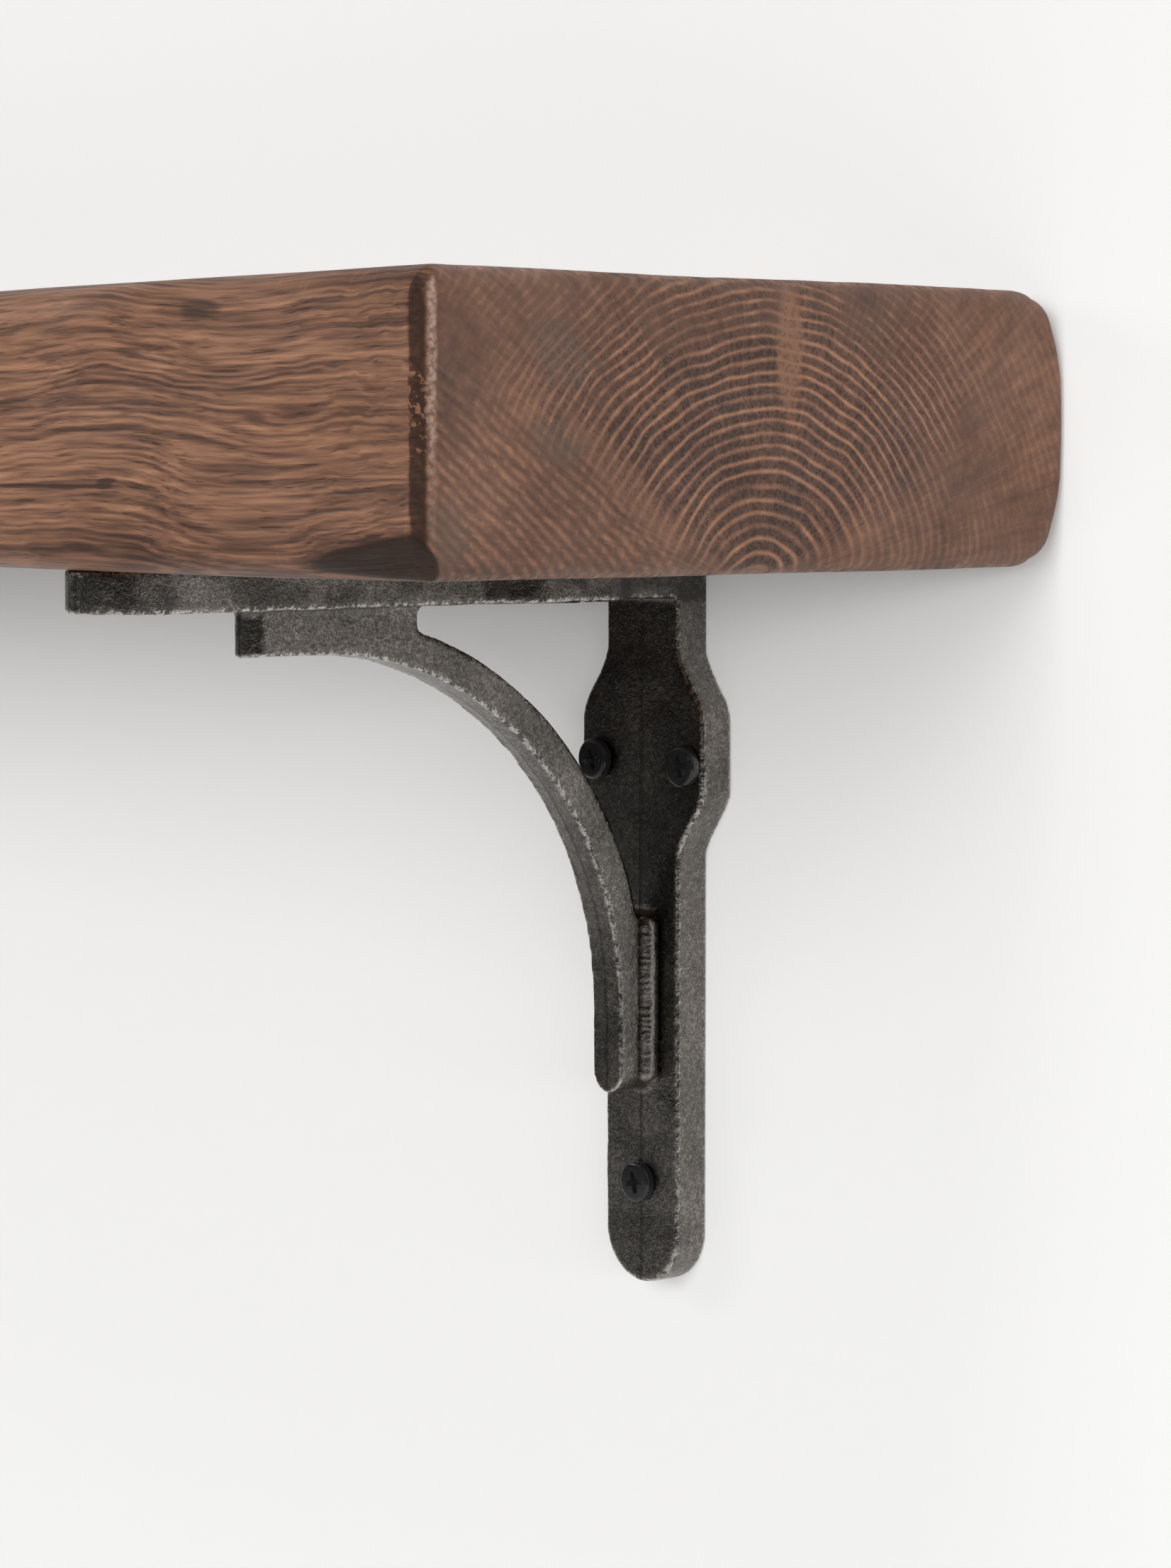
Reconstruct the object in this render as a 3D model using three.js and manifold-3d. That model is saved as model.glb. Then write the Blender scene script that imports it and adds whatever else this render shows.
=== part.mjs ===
// Wall shelf: a stained timber board on two cast-iron brackets. Each bracket is one casting with a
// flat arm under the board, a flat leg against the wall and a curved brace between them. Pan-head
// screws in nylon plugs hold the legs to the wall, and flush flat-head screws hold the board.
//
// Millimetres, +Z up. The origin is the centre of the board's back face, which lies on the wall:
// +X runs along the wall and +Y points into it.

import * as THREE from 'three';
import { mergeVertices } from 'three/addons/utils/BufferGeometryUtils.js';
import Module from 'manifold-3d';

const wasm = await Module();
wasm.setup();

// ---------------------------------------------------------------- driving dimensions

const board = {
  length: 610,
  depth: 150,
  thickness: 50,
  longEdgeRadius: 6,    // along the front and back
  endEdgeRadius: 5,     // along the tops and bottoms of the two ends
  cornerRadius: 2.5,    // down the four upright corners
};

const bar = {
  width: 21.5,          // of the arm and of the leg, away from the pads
  thickness: 8,
  legLength: 148,       // board underside to the leg's rounded tip
  armSetback: 6,        // the arm's rounded tip stops this far behind the board's front
  insetFromBoardEnd: 105,
};

const pad = {           // where the arm and the leg swell around their paired holes
  width: 36,
  flatLength: 13,
  rampLength: 15,
  aheadOfHoles: 2,      // the pad's middle lies this much nearer the corner than the holes
};

const holes = {
  pairFromCorner: 41.5,
  pairSpacing: 26.2,
  singleFromTip: 20.8,
};

const brace = {
  width: 8.3,
  thickness: 7.5,
  gapUnderArm: 1.5,     // the web fills this gap, and the foot fills the next one
  gapBeforeLeg: 2,
  frontFromTip: 35.8,   // arm's tip to the brace's front end
  lowerFromTip: 40,     // leg's tip to the brace's lower end
  frontStraight: 16.2,  // length of the straight that the arc runs into under the arm
  webLength: 39.2,      // back from the brace's front end
  footLength: 35.5,     // up from the brace's lower end
  filletRadius: 2,
};

const screw = {
  shankDiameter: 4.2,
  headDiameter: 8.3,
  headHeight: 2.1,
  headCornerRadius: 0.7,
  tipLength: 4,
  wallLength: 40,       // under the head
  shelfLength: 32,      // overall
};

const recess = { topLength: 4.4, bottomLength: 1.8, width: 1, depth: 1.6 };

const plug = {
  diameter: 8,
  length: 38,
  tipDiameter: 5.6,
  tipLength: 6,
  tipWall: 1.6,
  finProud: 0.8,
  finWidth: 1.2,
  finLength: 16,
  finFromMouth: 3,
  slotWidth: 1,
  slotFromMouth: 9,
};

const clearance = {
  shankInCasting: 0.4,  // radial
  headInCountersink: 0.3,
  shankInPilot: 0.3,
  shankInPlug: 0.3,
  beyondTip: 2,         // depth left past a screw's point
};

const joined = 0.5;     // how far the brace runs into the bars that it is cast with
const roundSteps = 24;
const curveSteps = 10;

// ---------------------------------------------------------------- worked-out dimensions

const bracketX = board.length / 2 - bar.insetFromBoardEnd;
const armLength = board.depth - bar.armSetback;
const armReach = armLength - brace.frontFromTip;
const legReach = bar.legLength - brace.lowerFromTip;
const braceOuterRadius = armReach - brace.frontStraight - brace.gapBeforeLeg - bar.thickness;
const braceInnerRadius = braceOuterRadius - brace.thickness;
const braceCentre = {
  y: -(bar.thickness + brace.gapBeforeLeg + braceOuterRadius),
  z: -(bar.thickness + brace.gapUnderArm + braceOuterRadius),
};
const shankRadius = screw.shankDiameter / 2;
const headRadius = screw.headDiameter / 2;

// ---------------------------------------------------------------- solids and booleans

function toSolid(geometry) {
  geometry.deleteAttribute('normal');
  geometry.deleteAttribute('uv');
  const merged = mergeVertices(geometry, 1e-5);
  const corners = merged.index.array;
  const triangles = [];
  for (let i = 0; i < corners.length; i += 3) {
    const [a, b, c] = corners.subarray(i, i + 3);
    if (a !== b && b !== c && c !== a) triangles.push(a, b, c);
  }
  return new wasm.Manifold(new wasm.Mesh({
    numProp: 3,
    vertProperties: new Float32Array(merged.attributes.position.array),
    triVerts: new Uint32Array(triangles),
  }));
}

function toGeometry(solid) {
  const mesh = solid.getMesh();
  const geometry = new THREE.BufferGeometry();
  geometry.setAttribute('position', new THREE.BufferAttribute(mesh.vertProperties, 3));
  geometry.setIndex(new THREE.BufferAttribute(mesh.triVerts, 1));
  geometry.computeVertexNormals();
  return geometry;
}

const joinAll = (solids) => solids.reduce((sum, next) => sum.add(next));
const cutAll = (solid, cutters) => cutters.reduce((rest, next) => rest.subtract(next), solid);

function extrude(shape, depth) {
  return new THREE.ExtrudeGeometry(shape, { depth, bevelEnabled: false, curveSegments: curveSteps });
}

// A round solid about the Y axis. The profile's points are [radius, y], from low y to high y.
function turned(profile) {
  const points = profile.map(([radius, y]) => new THREE.Vector2(radius, y));
  return new THREE.LatheGeometry(points, roundSteps);
}

// ---------------------------------------------------------------- board

function roundedRectangle(width, height, radius) {
  const x = width / 2;
  const y = height / 2;
  const shape = new THREE.Shape();
  shape.absarc(x - radius, y - radius, radius, 0, Math.PI / 2);
  shape.absarc(-x + radius, y - radius, radius, Math.PI / 2, Math.PI);
  shape.absarc(-x + radius, -y + radius, radius, Math.PI, 1.5 * Math.PI);
  shape.absarc(x - radius, -y + radius, radius, 1.5 * Math.PI, 2 * Math.PI);
  return shape;
}

// A bar with the board's rounded outline as seen along one axis, centred on the origin.
function boardPrism(width, height, radius, depth) {
  return extrude(roundedRectangle(width, height, radius), depth).translate(0, 0, -depth / 2);
}

function boardGeometry() {
  const { length, depth, thickness } = board;
  const plan = boardPrism(length, depth, board.cornerRadius, thickness);
  const front = boardPrism(length, thickness, board.endEdgeRadius, depth).rotateX(Math.PI / 2);
  const end = boardPrism(thickness, depth, board.longEdgeRadius, length).rotateY(Math.PI / 2);
  const blank = toSolid(plan).intersect(toSolid(front)).intersect(toSolid(end));
  const pilots = [-bracketX, bracketX].flatMap((x) => shelfHolePlaces().map((place) => {
    const radius = shankRadius + clearance.shankInPilot;
    const depthInBoard = screw.shelfLength - bar.thickness + clearance.beyondTip;
    const pilot = new THREE.CylinderGeometry(radius, radius, 2 * depthInBoard, roundSteps);
    pilot.rotateX(Math.PI / 2).translate(x + place.x, place.y + depth / 2, -thickness / 2);
    return toSolid(pilot);
  }));
  return toGeometry(cutAll(blank, pilots));
}

// ---------------------------------------------------------------- where the screws go
// Places are in the bracket's own frame: its corner on the wall, at the board's underside.

function shelfHolePlaces() {
  return [
    { name: 'outer', x: holes.pairSpacing / 2, y: -holes.pairFromCorner },
    { name: 'inner', x: -holes.pairSpacing / 2, y: -holes.pairFromCorner },
    { name: 'front', x: 0, y: -(armLength - holes.singleFromTip) },
  ];
}

function wallHolePlaces() {
  return [
    { name: 'outer', x: holes.pairSpacing / 2, z: -holes.pairFromCorner },
    { name: 'inner', x: -holes.pairSpacing / 2, z: -holes.pairFromCorner },
    { name: 'lower', x: 0, z: -(bar.legLength - holes.singleFromTip) },
  ];
}

// ---------------------------------------------------------------- bracket

// A flat bar that starts at the corner, runs towards -y and ends in a half circle.
function roundEndedBar(width, length) {
  const half = width / 2;
  const shape = new THREE.Shape();
  shape.moveTo(half, 0);
  shape.lineTo(-half, 0);
  shape.lineTo(-half, -length + half);
  shape.absarc(0, -length + half, half, Math.PI, 2 * Math.PI);
  return shape;
}

// The pad: it swells from the bar's width and back in two smooth ramps on each side.
function padShape() {
  const centre = -(holes.pairFromCorner - pad.aheadOfHoles);
  const flat = pad.flatLength / 2;
  const end = flat + pad.rampLength;
  const third = pad.rampLength / 3;
  const narrow = bar.width / 2;
  const wide = pad.width / 2;
  const shape = new THREE.Shape();
  shape.moveTo(narrow, centre - end);
  shape.bezierCurveTo(narrow, centre - end + third, wide, centre - flat - third, wide, centre - flat);
  shape.lineTo(wide, centre + flat);
  shape.bezierCurveTo(wide, centre + flat + third, narrow, centre + end - third, narrow, centre + end);
  shape.lineTo(-narrow, centre + end);
  shape.bezierCurveTo(-narrow, centre + end - third, -wide, centre + flat + third, -wide, centre + flat);
  shape.lineTo(-wide, centre - flat);
  shape.bezierCurveTo(-wide, centre - flat - third, -narrow, centre - end + third, -narrow, centre - end);
  return shape;
}

function padSide(side) {
  const geometry = extrude(padShape(), bar.thickness);
  return toSolid(side === 'arm' ? geometry.translate(0, 0, -bar.thickness) : geometry.rotateX(Math.PI / 2));
}

function barSolid(side) {
  const length = side === 'arm' ? armLength : bar.legLength;
  const geometry = extrude(roundEndedBar(bar.width, length), bar.thickness);
  const flat = side === 'arm' ? geometry.translate(0, 0, -bar.thickness) : geometry.rotateX(Math.PI / 2);
  return toSolid(flat).add(padSide(side));
}

// The brace seen from the side, with the web to the arm and the foot to the leg: x is Y, y is Z.
function braceOutline() {
  const { y: cy, z: cz } = braceCentre;
  const armFace = -bar.thickness;
  const legFace = -bar.thickness;
  const fillet = brace.filletRadius;
  const webY = -(armReach - brace.webLength);
  const footZ = -(legReach - brace.footLength);
  const webAngle = Math.acos((webY + fillet - cy) / braceOuterRadius);
  const footAngle = Math.asin((footZ + fillet - cz) / braceOuterRadius);
  const webLow = cz + braceOuterRadius * Math.sin(webAngle);
  const footNear = cy + braceOuterRadius * Math.cos(footAngle);
  const shape = new THREE.Shape();
  shape.moveTo(-armReach, cz + braceInnerRadius);
  shape.lineTo(cy, cz + braceInnerRadius);
  shape.absarc(cy, cz, braceInnerRadius, Math.PI / 2, 0, true);
  shape.lineTo(cy + braceInnerRadius, -legReach);
  shape.lineTo(legFace + joined, -legReach);
  shape.lineTo(legFace + joined, footZ + fillet);
  shape.lineTo(legFace, footZ + fillet);
  shape.quadraticCurveTo(legFace, footZ, (legFace + footNear) / 2, footZ);
  shape.quadraticCurveTo(footNear, footZ, footNear, footZ + fillet);
  shape.absarc(cy, cz, braceOuterRadius, footAngle, webAngle, false);
  shape.quadraticCurveTo(webY, webLow, webY, (webLow + armFace) / 2);
  shape.quadraticCurveTo(webY, armFace, webY + fillet, armFace);
  shape.lineTo(webY + fillet, armFace + joined);
  shape.lineTo(-armReach, armFace + joined);
  return shape;
}

function braceSolid() {
  const alongX = new THREE.Matrix4().makeBasis(
    new THREE.Vector3(0, 1, 0),
    new THREE.Vector3(0, 0, 1),
    new THREE.Vector3(1, 0, 0),
  );
  const side = extrude(braceOutline(), brace.width).applyMatrix4(alongX).translate(-brace.width / 2, 0, 0);
  const fromAbove = extrude(roundEndedBar(brace.width, armReach), bar.legLength);
  fromAbove.translate(0, 0, -bar.legLength);
  const fromFront = extrude(roundEndedBar(brace.width, legReach), armLength).rotateX(Math.PI / 2);
  return toSolid(side).intersect(toSolid(fromAbove)).intersect(toSolid(fromFront));
}

// A clearance hole through the arm, with its countersink in the arm's underside.
function shelfHole(place) {
  const radius = shankRadius + clearance.shankInCasting;
  const mouth = headRadius + clearance.headInCountersink;
  const low = -bar.thickness;
  const hole = turned([
    [0, low - 1],
    [mouth + 1, low - 1],
    [radius, low + mouth - radius],
    [radius, 1],
    [0, 1],
  ]);
  return toSolid(hole.rotateX(Math.PI / 2).translate(place.x, place.y, 0));
}

function wallHole(place) {
  const radius = shankRadius + clearance.shankInCasting;
  const hole = new THREE.CylinderGeometry(radius, radius, 4 * bar.thickness, roundSteps);
  return toSolid(hole.translate(place.x, 0, place.z));
}

function bracketGeometry() {
  const casting = joinAll([barSolid('arm'), barSolid('leg'), braceSolid()]);
  const cutters = [...shelfHolePlaces().map(shelfHole), ...wallHolePlaces().map(wallHole)];
  return toGeometry(cutAll(casting, cutters));
}

// ---------------------------------------------------------------- screws
// Screws point along +y with the head towards -y.

// A cross-shaped driver recess cut into a head whose top is at the given y.
function crossRecess(topY) {
  const blade = new THREE.Shape();
  blade.moveTo(-recess.topLength / 2, topY - 1);
  blade.lineTo(recess.topLength / 2, topY - 1);
  blade.lineTo(recess.topLength / 2, topY);
  blade.lineTo(recess.bottomLength / 2, topY + recess.depth);
  blade.lineTo(-recess.bottomLength / 2, topY + recess.depth);
  blade.lineTo(-recess.topLength / 2, topY);
  const flat = () => extrude(blade, recess.width).translate(0, 0, -recess.width / 2);
  return toSolid(flat()).add(toSolid(flat().rotateY(Math.PI / 2)));
}

// The head's underside is at y = 0.
function panHeadScrewGeometry() {
  const corner = screw.headCornerRadius;
  const bend = Math.SQRT1_2 * corner;
  const body = turned([
    [0, -screw.headHeight],
    [headRadius - corner, -screw.headHeight],
    [headRadius - corner + bend, -screw.headHeight + corner - bend],
    [headRadius, -screw.headHeight + corner],
    [headRadius, 0],
    [shankRadius, 0],
    [shankRadius, screw.wallLength - screw.tipLength],
    [0, screw.wallLength],
  ]);
  return toGeometry(toSolid(body).subtract(crossRecess(-screw.headHeight)));
}

// The head's top is at y = 0, and its cone falls at 45 degrees to the shank.
function flatHeadScrewGeometry() {
  const body = turned([
    [0, 0],
    [headRadius, 0],
    [shankRadius, headRadius - shankRadius],
    [shankRadius, screw.shelfLength - screw.tipLength],
    [0, screw.shelfLength],
  ]);
  return toGeometry(toSolid(body).subtract(crossRecess(0)));
}

// ---------------------------------------------------------------- wall plug
// A nylon plug with its mouth at y = 0, two fins against turning and a split that lets it spread.

function plugGeometry() {
  const outer = plug.diameter / 2;
  const bore = shankRadius + clearance.shankInPlug;
  const length = Math.max(plug.length, screw.wallLength - bar.thickness + clearance.beyondTip + plug.tipWall);
  const body = turned([
    [0, 0],
    [outer, 0],
    [outer, length - plug.tipLength],
    [plug.tipDiameter / 2, length],
    [0, length],
  ]);
  const boreEnd = length - plug.tipWall;
  const boring = turned([[0, -1], [bore, -1], [bore, boreEnd - bore], [0, boreEnd]]);
  const fins = new THREE.BoxGeometry(2 * (outer + plug.finProud), plug.finLength, plug.finWidth);
  fins.translate(0, plug.finFromMouth + plug.finLength / 2, 0);
  const slotLength = length - plug.tipLength - plug.slotFromMouth;
  const slot = new THREE.BoxGeometry(plug.slotWidth, slotLength, 4 * outer);
  slot.translate(0, plug.slotFromMouth + slotLength / 2, 0);
  return toGeometry(toSolid(body).add(toSolid(fins)).subtract(toSolid(boring)).subtract(toSolid(slot)));
}

// ---------------------------------------------------------------- materials and assembly

const materials = {
  timber: new THREE.MeshStandardMaterial({ color: 0x6b4530, roughness: 0.55, metalness: 0 }),
  castIron: new THREE.MeshStandardMaterial({ color: 0x4a4a48, roughness: 0.5, metalness: 0.8 }),
  blackScrew: new THREE.MeshStandardMaterial({ color: 0x151515, roughness: 0.3, metalness: 0.7 }),
  nylon: new THREE.MeshStandardMaterial({ color: 0x9a9a94, roughness: 0.6, metalness: 0 }),
};

function named(name, geometry, material) {
  const mesh = new THREE.Mesh(geometry, material);
  mesh.name = name;
  return mesh;
}

const shared = {
  bracket: bracketGeometry(),
  wallScrew: panHeadScrewGeometry(),
  shelfScrew: flatHeadScrewGeometry(),
  plug: plugGeometry(),
};

// One bracket with its screws and plugs. The right bracket is the left one turned over its middle,
// so "outer" holes are the ones nearer the board's end.
function bracketGroup(side, x) {
  const group = new THREE.Group();
  const outward = Math.sign(x);
  group.add(named(`bracket_${side}`, shared.bracket, materials.castIron));
  for (const place of wallHolePlaces()) {
    const wallScrew = named(`wall_screw_${side}_${place.name}`, shared.wallScrew, materials.blackScrew);
    wallScrew.position.set(outward * place.x, -bar.thickness, place.z);
    const wallPlug = named(`wall_plug_${side}_${place.name}`, shared.plug, materials.nylon);
    wallPlug.position.set(outward * place.x, 0, place.z);
    group.add(wallScrew, wallPlug);
  }
  for (const place of shelfHolePlaces()) {
    const shelfScrew = named(`shelf_screw_${side}_${place.name}`, shared.shelfScrew, materials.blackScrew);
    shelfScrew.rotation.x = Math.PI / 2;
    shelfScrew.position.set(outward * place.x, place.y, -bar.thickness);
    group.add(shelfScrew);
  }
  group.position.set(x, 0, -board.thickness / 2);
  return group;
}

const shelf = new THREE.Group();
const timber = named('shelf_board', boardGeometry(), materials.timber);
timber.position.y = -board.depth / 2;
shelf.add(timber, bracketGroup('left', -bracketX), bracketGroup('right', bracketX));

export default shelf;
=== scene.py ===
"""A wall shelf: a thick stained board on two cast-iron brackets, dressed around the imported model.

Metres, +Z up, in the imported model's own frame: the origin is the centre of the board's back face,
which lies on the wall, +X runs along the wall and +Y points into it. Shader patterns are worked out
in millimetres from Object coordinates, so sizes in the finishes are millimetres.
"""

from __future__ import annotations

import logging
import math
from collections.abc import Iterable, Mapping, Sequence
from dataclasses import dataclass, field
from enum import Enum

import bmesh
import bpy
from bmesh.types import BMesh
from mathutils import Matrix, Vector, noise

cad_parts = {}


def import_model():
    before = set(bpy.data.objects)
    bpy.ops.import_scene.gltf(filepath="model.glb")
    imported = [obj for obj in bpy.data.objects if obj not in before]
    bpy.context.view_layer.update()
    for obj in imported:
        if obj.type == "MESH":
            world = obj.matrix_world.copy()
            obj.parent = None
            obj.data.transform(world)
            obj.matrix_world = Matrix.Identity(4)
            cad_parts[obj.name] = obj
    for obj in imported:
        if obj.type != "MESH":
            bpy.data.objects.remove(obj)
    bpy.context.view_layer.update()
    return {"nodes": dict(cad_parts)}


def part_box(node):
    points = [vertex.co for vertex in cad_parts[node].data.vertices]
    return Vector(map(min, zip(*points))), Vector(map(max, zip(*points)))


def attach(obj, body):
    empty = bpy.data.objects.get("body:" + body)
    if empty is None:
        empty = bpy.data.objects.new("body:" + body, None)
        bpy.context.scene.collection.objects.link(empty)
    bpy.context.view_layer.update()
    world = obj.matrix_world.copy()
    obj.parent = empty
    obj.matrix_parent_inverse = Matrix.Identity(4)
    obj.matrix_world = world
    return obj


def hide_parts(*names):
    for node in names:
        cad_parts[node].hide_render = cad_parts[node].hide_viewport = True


LOG = logging.getLogger("wall_shelf")

MM = 0.001
BODY = "root"
MERGE_DISTANCE = 1e-6
CUT_DISTANCE = 1e-7
EDGE_ATTRIBUTE = "edge"
LIT_POINT = (0.2, -0.05, -0.06)

Colour = tuple[float, float, float]


class Side(Enum):
    """Which end of the shelf a bracket and its fixings belong to."""

    LEFT = "left"
    RIGHT = "right"


class Slot(Enum):
    """Material slot names."""

    TIMBER = "timber"
    CAST_IRON = "cast_iron"
    BLACK_SCREW = "black_screw"
    NYLON = "nylon"


# ---------------------------------------------------------------------------- shader arithmetic


class Signal:
    """A shader socket that carries a number, with Python's arithmetic on it."""

    def __init__(self, sheet: NodeSheet, socket: bpy.types.NodeSocket) -> None:
        """Wrap a socket of a node sheet."""
        self.sheet = sheet
        self.socket = socket

    def __add__(self, other: Number) -> Signal:
        """The sum."""
        return self.sheet.math("ADD", self, other)

    def __sub__(self, other: Number) -> Signal:
        """The difference."""
        return self.sheet.math("SUBTRACT", self, other)

    def __rsub__(self, other: Number) -> Signal:
        """The difference, with this signal taken away."""
        return self.sheet.math("SUBTRACT", other, self)

    def __mul__(self, other: Number) -> Signal:
        """The product."""
        return self.sheet.math("MULTIPLY", self, other)

    def __truediv__(self, other: Number) -> Signal:
        """The quotient."""
        return self.sheet.math("DIVIDE", self, other)

    def __abs__(self) -> Signal:
        """The size without its sign."""
        return self.sheet.math("ABSOLUTE", self)

    __radd__ = __add__
    __rmul__ = __mul__

    def root(self) -> Signal:
        """The square root."""
        return self.sheet.math("SQRT", self)

    def fraction(self) -> Signal:
        """What is left above the whole number below."""
        return self.sheet.math("FRACT", self)

    def at_least(self, other: Number) -> Signal:
        """The larger of the two."""
        return self.sheet.math("MAXIMUM", self, other)

    def fade(self, start: float, end: float, low: float = 0.0, high: float = 1.0) -> Signal:
        """Go smoothly from one level to another.

        Args:
            start: The value at which the result is still `low`.
            end: The value at which the result has reached `high`. It may be below `start`.
            low: The level before `start`.
            high: The level after `end`.

        Returns:
            The eased level.
        """
        if start > end:
            start, end, low, high = end, start, high, low
        eased = self.sheet.node(
            "ShaderNodeMapRange",
            {"interpolation_type": "SMOOTHSTEP"},
            {"Value": self, "From Min": start, "From Max": end, "To Min": low, "To Max": high},
        )
        return Signal(self.sheet, eased.outputs["Result"])

    def zigzag(self) -> Signal:
        """Run from 1 at each whole number down to 0 half way to the next."""
        return abs(self.fraction() - 0.5) * 2.0

    def near(self, centre: Number, half_width: float, soft: float) -> Signal:
        """Be 1 within a distance of a centre, and fall to 0 over a soft edge."""
        return abs(self - centre).fade(half_width + soft, half_width)


Number = Signal | float | int
Input = Signal | bpy.types.NodeSocket | float | int | Sequence[float]


class NodeSheet:
    """The node tree of one finish, and the one place where its nodes are made."""

    def __init__(self, tree: bpy.types.NodeTree) -> None:
        """Start from an empty tree."""
        self.tree = tree
        tree.nodes.clear()

    def node(
        self,
        kind: str,
        settings: Mapping[str, object] | None = None,
        inputs: Mapping[str | int, Input] | None = None,
    ) -> bpy.types.Node:
        """Add a node.

        Args:
            kind: The node's type.
            settings: Its properties, set first. "stops" holds a ramp's (position, colour) pairs.
            inputs: A value or a link for each named or numbered socket.

        Returns:
            The node.
        """
        made = self.tree.nodes.new(kind)
        for name, value in (settings or {}).items():
            if name == "stops":
                self._set_stops(made.color_ramp, value)
            else:
                setattr(made, name, value)
        for key, value in (inputs or {}).items():
            source = value.socket if isinstance(value, Signal) else value
            if isinstance(source, bpy.types.NodeSocket):
                self.tree.links.new(source, made.inputs[key])
            else:
                made.inputs[key].default_value = source
        return made

    @staticmethod
    def _set_stops(ramp: bpy.types.ColorRamp, stops: Sequence[tuple[float, Colour]]) -> None:
        """Give a ramp its stops.

        Args:
            ramp: The ramp.
            stops: Its (position, colour) pairs, from left to right.
        """
        while len(ramp.elements) < len(stops):
            ramp.elements.new(1.0)
        for element, (position, colour) in zip(ramp.elements, stops):
            element.position = position
            element.color = (*colour, 1.0)

    def math(self, operation: str, *values: Number) -> Signal:
        """Work out one Math operation."""
        made = self.node("ShaderNodeMath", {"operation": operation}, dict(enumerate(values)))
        return Signal(self, made.outputs[0])

    def vector(self, operation: str, *values: Input) -> bpy.types.NodeSocket:
        """Work out one Vector Math operation that gives a vector."""
        made = self.node("ShaderNodeVectorMath", {"operation": operation}, dict(enumerate(values)))
        return made.outputs["Vector"]

    def place(self) -> bpy.types.NodeSocket:
        """Give the Object coordinates in millimetres."""
        coordinates = self.node("ShaderNodeTexCoord").outputs["Object"]
        return self.vector("MULTIPLY", coordinates, (1 / MM, 1 / MM, 1 / MM))

    def facing(self) -> tuple[Signal, Signal, Signal]:
        """Give the surface normal's X, Y and Z parts, X without its sign."""
        x, y, z = self.parts(self.node("ShaderNodeTexCoord").outputs["Normal"])
        return abs(x), y, z

    def parts(self, vector: bpy.types.NodeSocket) -> tuple[Signal, Signal, Signal]:
        """Split a vector into its three numbers."""
        made = self.node("ShaderNodeSeparateXYZ", None, {"Vector": vector})
        return tuple(Signal(self, output) for output in made.outputs)

    def joined(self, x: Number, y: Number, z: Number) -> bpy.types.NodeSocket:
        """Make a vector of three numbers."""
        return self.node("ShaderNodeCombineXYZ", None, {"X": x, "Y": y, "Z": z}).outputs[0]

    def noise(
        self,
        place: bpy.types.NodeSocket,
        frequency: float | tuple[float, float, float],
        detail: float = 2.0,
        roughness: float = 0.5,
    ) -> Signal:
        """Give soft noise between 0 and 1.

        Args:
            place: The point, in millimetres.
            frequency: Features per millimetre, one number or one along each axis.
            detail: How many finer layers are added.
            roughness: How strong each finer layer is.

        Returns:
            The noise.
        """
        spread = frequency if isinstance(frequency, tuple) else (frequency,) * 3
        made = self.node(
            "ShaderNodeTexNoise",
            None,
            {
                "Vector": self.vector("MULTIPLY", place, spread),
                "Scale": 1.0,
                "Detail": detail,
                "Roughness": roughness,
            },
        )
        return Signal(self, made.outputs[0])

    def blend(
        self, factor: Number, first: Input, second: Input, mode: str = "MIX"
    ) -> bpy.types.NodeSocket:
        """Mix two colours.

        Args:
            factor: How much of the second colour there is.
            first: The colour at 0.
            second: The colour at 1.
            mode: The Mix node's blend type.

        Returns:
            The mixed colour.
        """
        first, second = (
            (*colour, 1.0) if isinstance(colour, tuple) else colour for colour in (first, second)
        )
        settings = {"data_type": "RGBA", "blend_type": mode}
        return self.node("ShaderNodeMix", settings, {0: factor, 6: first, 7: second}).outputs[2]

    def ramp(self, value: Signal, stops: Sequence[tuple[float, Colour]]) -> bpy.types.NodeSocket:
        """Turn a number into a colour."""
        return self.node("ShaderNodeValToRGB", {"stops": stops}, {"Fac": value}).outputs["Color"]

    def bump(self, height: Signal, depth: float, strength: float = 1.0) -> bpy.types.NodeSocket:
        """Make a normal from a height.

        Args:
            height: The relief, where 1 is `depth` millimetres above 0.
            depth: The relief's depth in millimetres.
            strength: How much of it shows.

        Returns:
            The normal.
        """
        inputs = {"Strength": strength, "Distance": depth * MM, "Height": height}
        return self.node("ShaderNodeBump", None, inputs).outputs["Normal"]

    def surface(self, inputs: Mapping[str, Input]) -> None:
        """Put a Principled surface with these inputs on the material."""
        shader = self.node("ShaderNodeBsdfPrincipled", None, inputs)
        self.node("ShaderNodeOutputMaterial", None, {"Surface": shader.outputs[0]})


def new_material(name: str) -> tuple[bpy.types.Material, NodeSheet]:
    """Make a material with an empty node sheet.

    Args:
        name: The material's name.

    Returns:
        The material and its sheet.
    """
    material = bpy.data.materials.new(name)
    material.use_nodes = True
    return material, NodeSheet(material.node_tree)


# ------------------------------------------------------------------------------------- finishes


@dataclass(frozen=True)
class Patch:
    """A soft oval mark on one face of the board, in millimetres."""

    along: float
    up: float
    half_length: float
    half_height: float
    tilt: float = 0.0

    def mask(self, along: Signal, up: Signal) -> Signal:
        """Give 1 in the middle of the patch and 0 outside it.

        Args:
            along: The coordinate along the face.
            up: The height.

        Returns:
            The mask.
        """
        cosine, sine = math.cos(math.radians(self.tilt)), math.sin(math.radians(self.tilt))
        run, rise = along - self.along, up - self.up
        across = (run * cosine + rise * sine) / self.half_length
        over = (rise * cosine - run * sine) / self.half_height
        return (across * across + over * over).fade(1.0, 0.25)


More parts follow.
